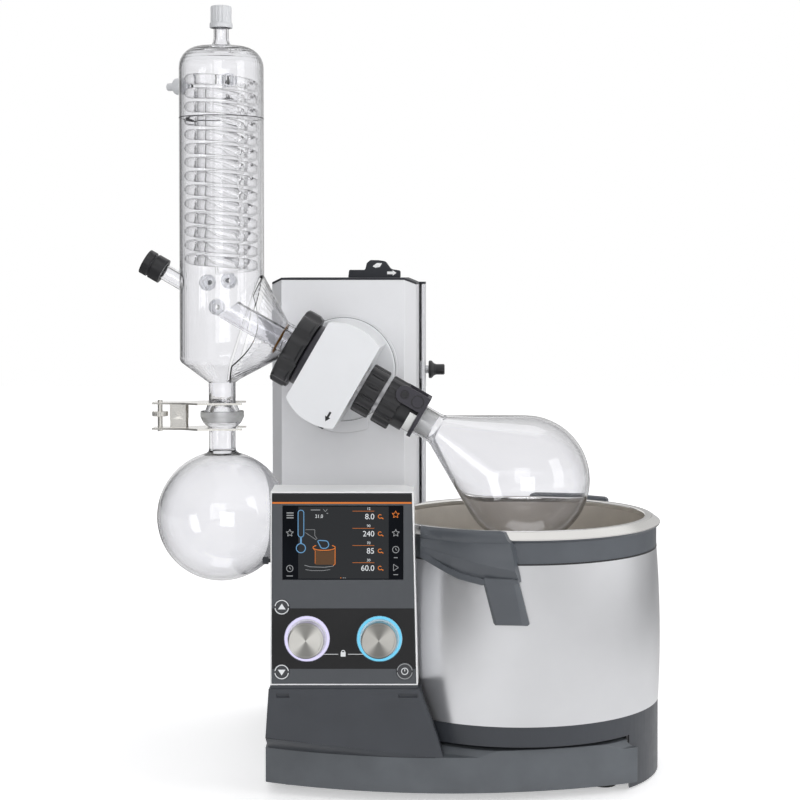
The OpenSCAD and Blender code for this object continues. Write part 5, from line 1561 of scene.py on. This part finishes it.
@dataclass
class Condenser:
    """The upright condenser with its coil, caps, union nut, joint clamp and receiving flask."""

    jacket_r: float = 42.5
    line_z: float = 656.0
    dome_top: float = 728.0
    ball_z: float = 357.0
    socket_r: float = 17.8
    receiver_z: float = 254.0
    receiver_r: float = 65.5
    receiver_neck: Point2 = (10.5, 13.5)
    coil_turns: float = 14.0
    coil_pitch: float = 13.9
    coil_start: float = 110.0
    coil_drop: float = 30.0
    outer_coil: Point2 = (31.5, 5.4)
    inner_coil: Point2 = (20.4, 4.4)
    wall: float = 2.2
    nut_start: float = -58.3
    nut_h: float = 19.0
    nut_r: float = 40.5
    nut_bore: float = 30.3
    joint_r: float = 21.8
    body: str = "head"

    def build(self) -> None:
        """Builds the condenser from the glass to the clamp."""
        dressed("jacket", "condenser_jacket", self.body, Finishes.GLASS, smooth=3)
        self.coils()
        self.nut()
        dressed("vent_screw_cap", "vent_cap", "vent", Finishes.BLACK_NUT, bevel=0.6)
        self.top_cap()
        dressed("hose_barbs", "hose_connectors", self.body, Finishes.GREY_CAP, bevel=0.5)
        dressed("upper_fork", "upper_jaw", self.body, Finishes.PLATED, bevel=0.4)
        dressed("lower_fork", "lower_jaw", self.body, Finishes.PLATED, bevel=0.4)
        dressed("clamp_screw", "clamp_wheel", "jaw_screw", Finishes.PLATED, bevel=0.3)
        self.receiver()
        keep("retaining_ring", Finishes.BROWN)
        self.print_ring()

    def coils(self) -> None:
        """Winds the outer and inner cooling coils."""
        turns, rise = self.coil_turns, self.coil_turns * self.coil_pitch
        (wide, thick), (narrow, thin) = self.outer_coil, self.inner_coil
        outer = wound_tube("outer_winding", wide, turns, rise, thick, Finishes.COIL_GLASS)
        inner = wound_tube("inner_winding", narrow, turns - 0.7, rise - 9.7, thin, Finishes.COIL_GLASS)
        place = at_condenser(self.dome_top - self.coil_drop - rise)
        place = place @ Matrix.Rotation(math.radians(self.coil_start), 4, "Z")
        add_piece("coil_windings", joined([outer, inner]), self.body, Finishes.COIL_GLASS, place,
                  replaces=("cooling_coil",), smooth=60)

    def nut(self) -> None:
        """Builds the lobed union nut."""
        r, h = self.nut_r, self.nut_h
        profile = fillet([(r - 4.5, 0), (r - 2.2, 0.05, 0.4), (r - 0.4, 1.6, 0.8), (r, 4.0, 1.2),
                          (r, h - 4.2, 0.8), (r - 1.2, h - 2.6, 0.6), (r - 1.4, h - 0.6, 0.4),
                          (r - 2.4, h - 0.05, 0.4), (r - 4.5, h)], 4, closed=False)
        ring = lobed(profile, self.nut_bore, 8, 3.6, 0.62, 288)
        face = lathe(rectangle(21.1, self.nut_bore + 0.1, 0.0, 4.4), 96)
        add_piece("union_nut", joined([ring, face]), "union_nut", Finishes.BLACK_NUT, at_axis(self.nut_start),
                  replaces=("condenser_nut",), smooth=40)

    def top_cap(self) -> None:
        """Builds the fluted grey cap on the dome."""
        bore, grip, height = 7.8, 10.5, 22.0
        profile = fillet([(9.6, 0), (grip, 1.0, 0.4), (grip, height - 1, 0.4), (9.6, height)], 3,
                         closed=False)
        ring = lobed(profile, bore, 16, 0.7, 0.5, 192)
        skirt = lathe(fillet([(bore, 0), (11.5, 0, 0.3), (11.5, 5, 0.6), (bore, 5)], 3), 96)
        lid = fillet([(0, 19.2), (9.9, 19.2), (9.9, height, 0.6), (0, height)], 3, closed=False)
        parts = [ring, skirt, lathe(lid, 96, closed=False)]
        add_piece("top_screw_cap", joined(parts), "top_stopper", Finishes.GREY_CAP,
                  at_condenser(self.dome_top + 19), replaces=("top_cap",), smooth=40)

    def receiver(self) -> None:
        """Builds the round receiving flask with its ball-joint socket."""
        r, z, ball, cup_r = self.receiver_r, self.receiver_z, self.ball_z, self.socket_r
        in_r, (in_neck, neck) = r - self.wall, self.receiver_neck
        knee, top = math.degrees(math.acos(neck / r)), z + math.sqrt(r * r - neck * neck)
        outside = arc(0, z, r, -90, knee - 3, 48) + [(neck + 0.6, top + 1.2), (neck, top + 4)]
        wide = self.joint_r
        joint = fillet([(neck, z + 70), (neck, ball - 14, 3), (wide - 3, ball - 9, 3), (wide, ball - 3, 2),
                        (wide, ball + 3, 0.6)], 5, closed=False)
        mouth, throat = math.degrees(math.asin(3 / cup_r)), -math.degrees(math.acos(in_neck / cup_r))
        cup = arc(0, ball, cup_r, mouth, throat, 12)
        inside = arc(0, z, in_r, math.degrees(math.acos(in_neck / in_r)), -90, 48)
        profile = [(max(x, 0.0), y) for x, y in outside + joint + cup + inside]
        add_piece("receiver", lathe(profile, 160, closed=False), self.body, Finishes.GLASS, at_condenser(),
                  replaces=("receiving_flask",), smooth=50)
        inner, outer = wide - 3.4, wide + 0.15
        frost = fillet([(inner, ball - 7.5), (outer, ball - 2.6, 0.5), (outer, ball + 3.0, 0.5),
                        (inner, ball + 3.0)], 4)
        add_piece("ball_socket", lathe(frost, 96), self.body, Finishes.FROSTED, at_condenser())

    def print_ring(self) -> None:
        """Adds the thin black line printed round the jacket."""
        r = self.jacket_r
        line = lathe(rectangle(r - 0.02, r + 0.06, self.line_z - 0.4, self.line_z + 0.4), 128)
        add_piece("jacket_line", line, self.body, Finishes.PRINT, at_condenser())


@dataclass
class Studio:
    """The pale floor, the lamps, the surroundings and the camera, with their lengths in metres."""

    floor_half: float = 6.0
    floor_colour: Rgb = (0.86, 0.86, 0.87)
    seen_through_glass: float = 0.72
    plain_sky: float = 0.46
    camera_at: Point3 = (0.082, -1.871, 0.500)
    focal_px: float = 1794.5
    frame_px: float = 800.0
    sensor_mm: float = 36.0
    pitch_deg: float = 1.249
    shift: Point2 = (-0.1, -0.11)

    def build(self) -> None:
        """Builds the whole studio."""
        self.floor()
        self.surroundings()
        self.lamps()
        self.camera()

    def floor(self) -> None:
        """Lays a plain pale floor that keeps the shadow."""
        bm = bmesh.new()
        bmesh.ops.create_grid(bm, x_segments=1, y_segments=1, size=self.floor_half)
        mesh = bpy.data.meshes.new("floor")
        bm.to_mesh(mesh)
        bm.free()
        floor = shown("floor", mesh)
        mat = bpy.data.materials.new("pale_floor")
        mat.use_nodes = True
        graph = Graph(mat.node_tree)
        rays = graph.add("ShaderNodeLightPath").outputs
        veiled = graph.maths("MULTIPLY", rays["Is Transmission Ray"], self.seen_through_glass)
        seen = graph.maths("MAXIMUM", rays["Is Camera Ray"], veiled)
        away = graph.add("ShaderNodeVectorMath", operation="LENGTH")
        graph.link(graph.add("ShaderNodeTexCoord").outputs["Object"], away.inputs[0])
        lift = graph.carried(away.outputs["Value"], (0.45, 2.6), (0.43, 0.72), eased=True)
        plain = graph.add("ShaderNodeBsdfPrincipled", {
            "Base Color": (*self.floor_colour, 1.0), "Roughness": 0.7, "Emission Color": WHITE,
            "Emission Strength": graph.maths("MULTIPLY", seen, lift)})
        mirrored = graph.maths("SUBTRACT", rays["Is Glossy Ray"], rays["Is Transmission Ray"], clamp=True)
        both = graph.add("ShaderNodeMixShader", {"Fac": mirrored})
        graph.link(plain.outputs["BSDF"], both.inputs[1])
        graph.link(self.windows(graph), both.inputs[2])
        graph.add("ShaderNodeOutputMaterial", {"Surface": both.outputs["Shader"]})
        mesh.materials.append(mat)

    def windows(self, graph: Graph) -> Socket:
        """Returns what gloss sees in the floor: strips of light in front, darker to the sides and behind."""
        parts = graph.split(graph.add("ShaderNodeTexCoord").outputs["Object"])
        across = graph.carried(parts["X"], (-2.0, 2.0))
        stops = ((0.22, 0.10), (0.33, 0.20), (0.395, 1.0), (0.47, 1.0), (0.53, 0.86), (0.67, 0.90),
                 (0.75, 0.5), (0.85, 0.2), (0.93, 0.4), (1.0, 1.0))
        behind = graph.carried(parts["Y"], (0.0, 0.8), (1.0, 0.45), eased=True)
        strip = graph.add("ShaderNodeEmission", {"Color": graph.levels(across, stops), "Strength": behind})
        return strip.outputs["Emission"]

    def surroundings(self) -> None:
        """Makes a white view behind the object, and darker sides for what glass and gloss see."""
        world = bpy.data.worlds.new("studio")
        bpy.context.scene.world = world
        world.use_nodes = True
        graph = Graph(world.node_tree)
        parts = graph.split(graph.add("ShaderNodeTexCoord").outputs["Generated"])
        ahead = graph.carried(parts["Y"], (0.80, 0.93), (0.16, 1.0), eased=True)
        stops = ((0.0, 0.07), (0.17, 0.14), (0.27, 1.0), (0.40, 0.95), (0.5, 0.45), (0.62, 0.6),
                 (0.86, 0.75), (1.0, 1.0))
        side = graph.levels(graph.carried(parts["X"], (-1.0, 1.0)), stops)
        above = graph.carried(parts["Z"], (0.2, 0.7), (0.0, 0.95), eased=True)
        rays = graph.add("ShaderNodeLightPath").outputs
        gloss = graph.either(rays["Is Glossy Ray"], self.plain_sky, graph.maths("MAXIMUM", side, above))
        through = graph.either(rays["Is Transmission Ray"], gloss, ahead)
        seen = graph.either(rays["Is Camera Ray"], through, 1.0)
        back = graph.add("ShaderNodeBackground", {"Color": WHITE, "Strength": seen})
        graph.add("ShaderNodeOutputWorld", {"Surface": back.outputs["Background"]})

    def lamps(self) -> None:
        """Hangs three soft boxes round the object; gloss sees the surroundings in their place."""
        aim = Vector((0.0, -0.05, 0.35))
        for name, place, size, watts in (
            ("key_box", (-0.2, -2.8, 1.0), (1.4, 1.4), 29.0),
            ("side_box", (1.7, -0.9, 0.7), (0.7, 1.6), 18.0),
            ("top_box", (0.1, 0.6, 2.2), (1.6, 1.0), 11.0),
        ):
            lamp = bpy.data.lights.new(name, "AREA")
            lamp.shape = "RECTANGLE"
            lamp.size, lamp.size_y = size
            lamp.energy = watts
            obj = shown(name, lamp)
            obj.location = place
            obj.visible_glossy = False
            obj.rotation_euler = (aim - Vector(place)).to_track_quat("-Z", "Y").to_euler()

    def camera(self) -> None:
        """Sets the camera at the photograph's viewing angle."""
        lens = bpy.data.cameras.new("camera")
        lens.sensor_width = self.sensor_mm
        lens.lens = self.focal_px / self.frame_px * self.sensor_mm
        lens.shift_x, lens.shift_y = self.shift
        lens.clip_start, lens.clip_end = 0.05, 60.0
        eye = shown("camera", lens)
        eye.location = self.camera_at
        eye.rotation_euler = (math.radians(90.0 - self.pitch_deg), 0.0, 0.0)
        bpy.context.scene.camera = eye
        bpy.context.scene.view_settings.view_transform = "Standard"


FRAME: dict = {}


def main() -> None:
    """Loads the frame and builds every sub-assembly in order."""
    logging.basicConfig(level=logging.INFO, format="%(message)s")
    FRAME.update(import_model())
    for part in (Studio(), Base(), Tower(), Panel(), Bath(), Head(), Spindle(), Condenser()):
        part.build()


if __name__ == "__main__":
    main()
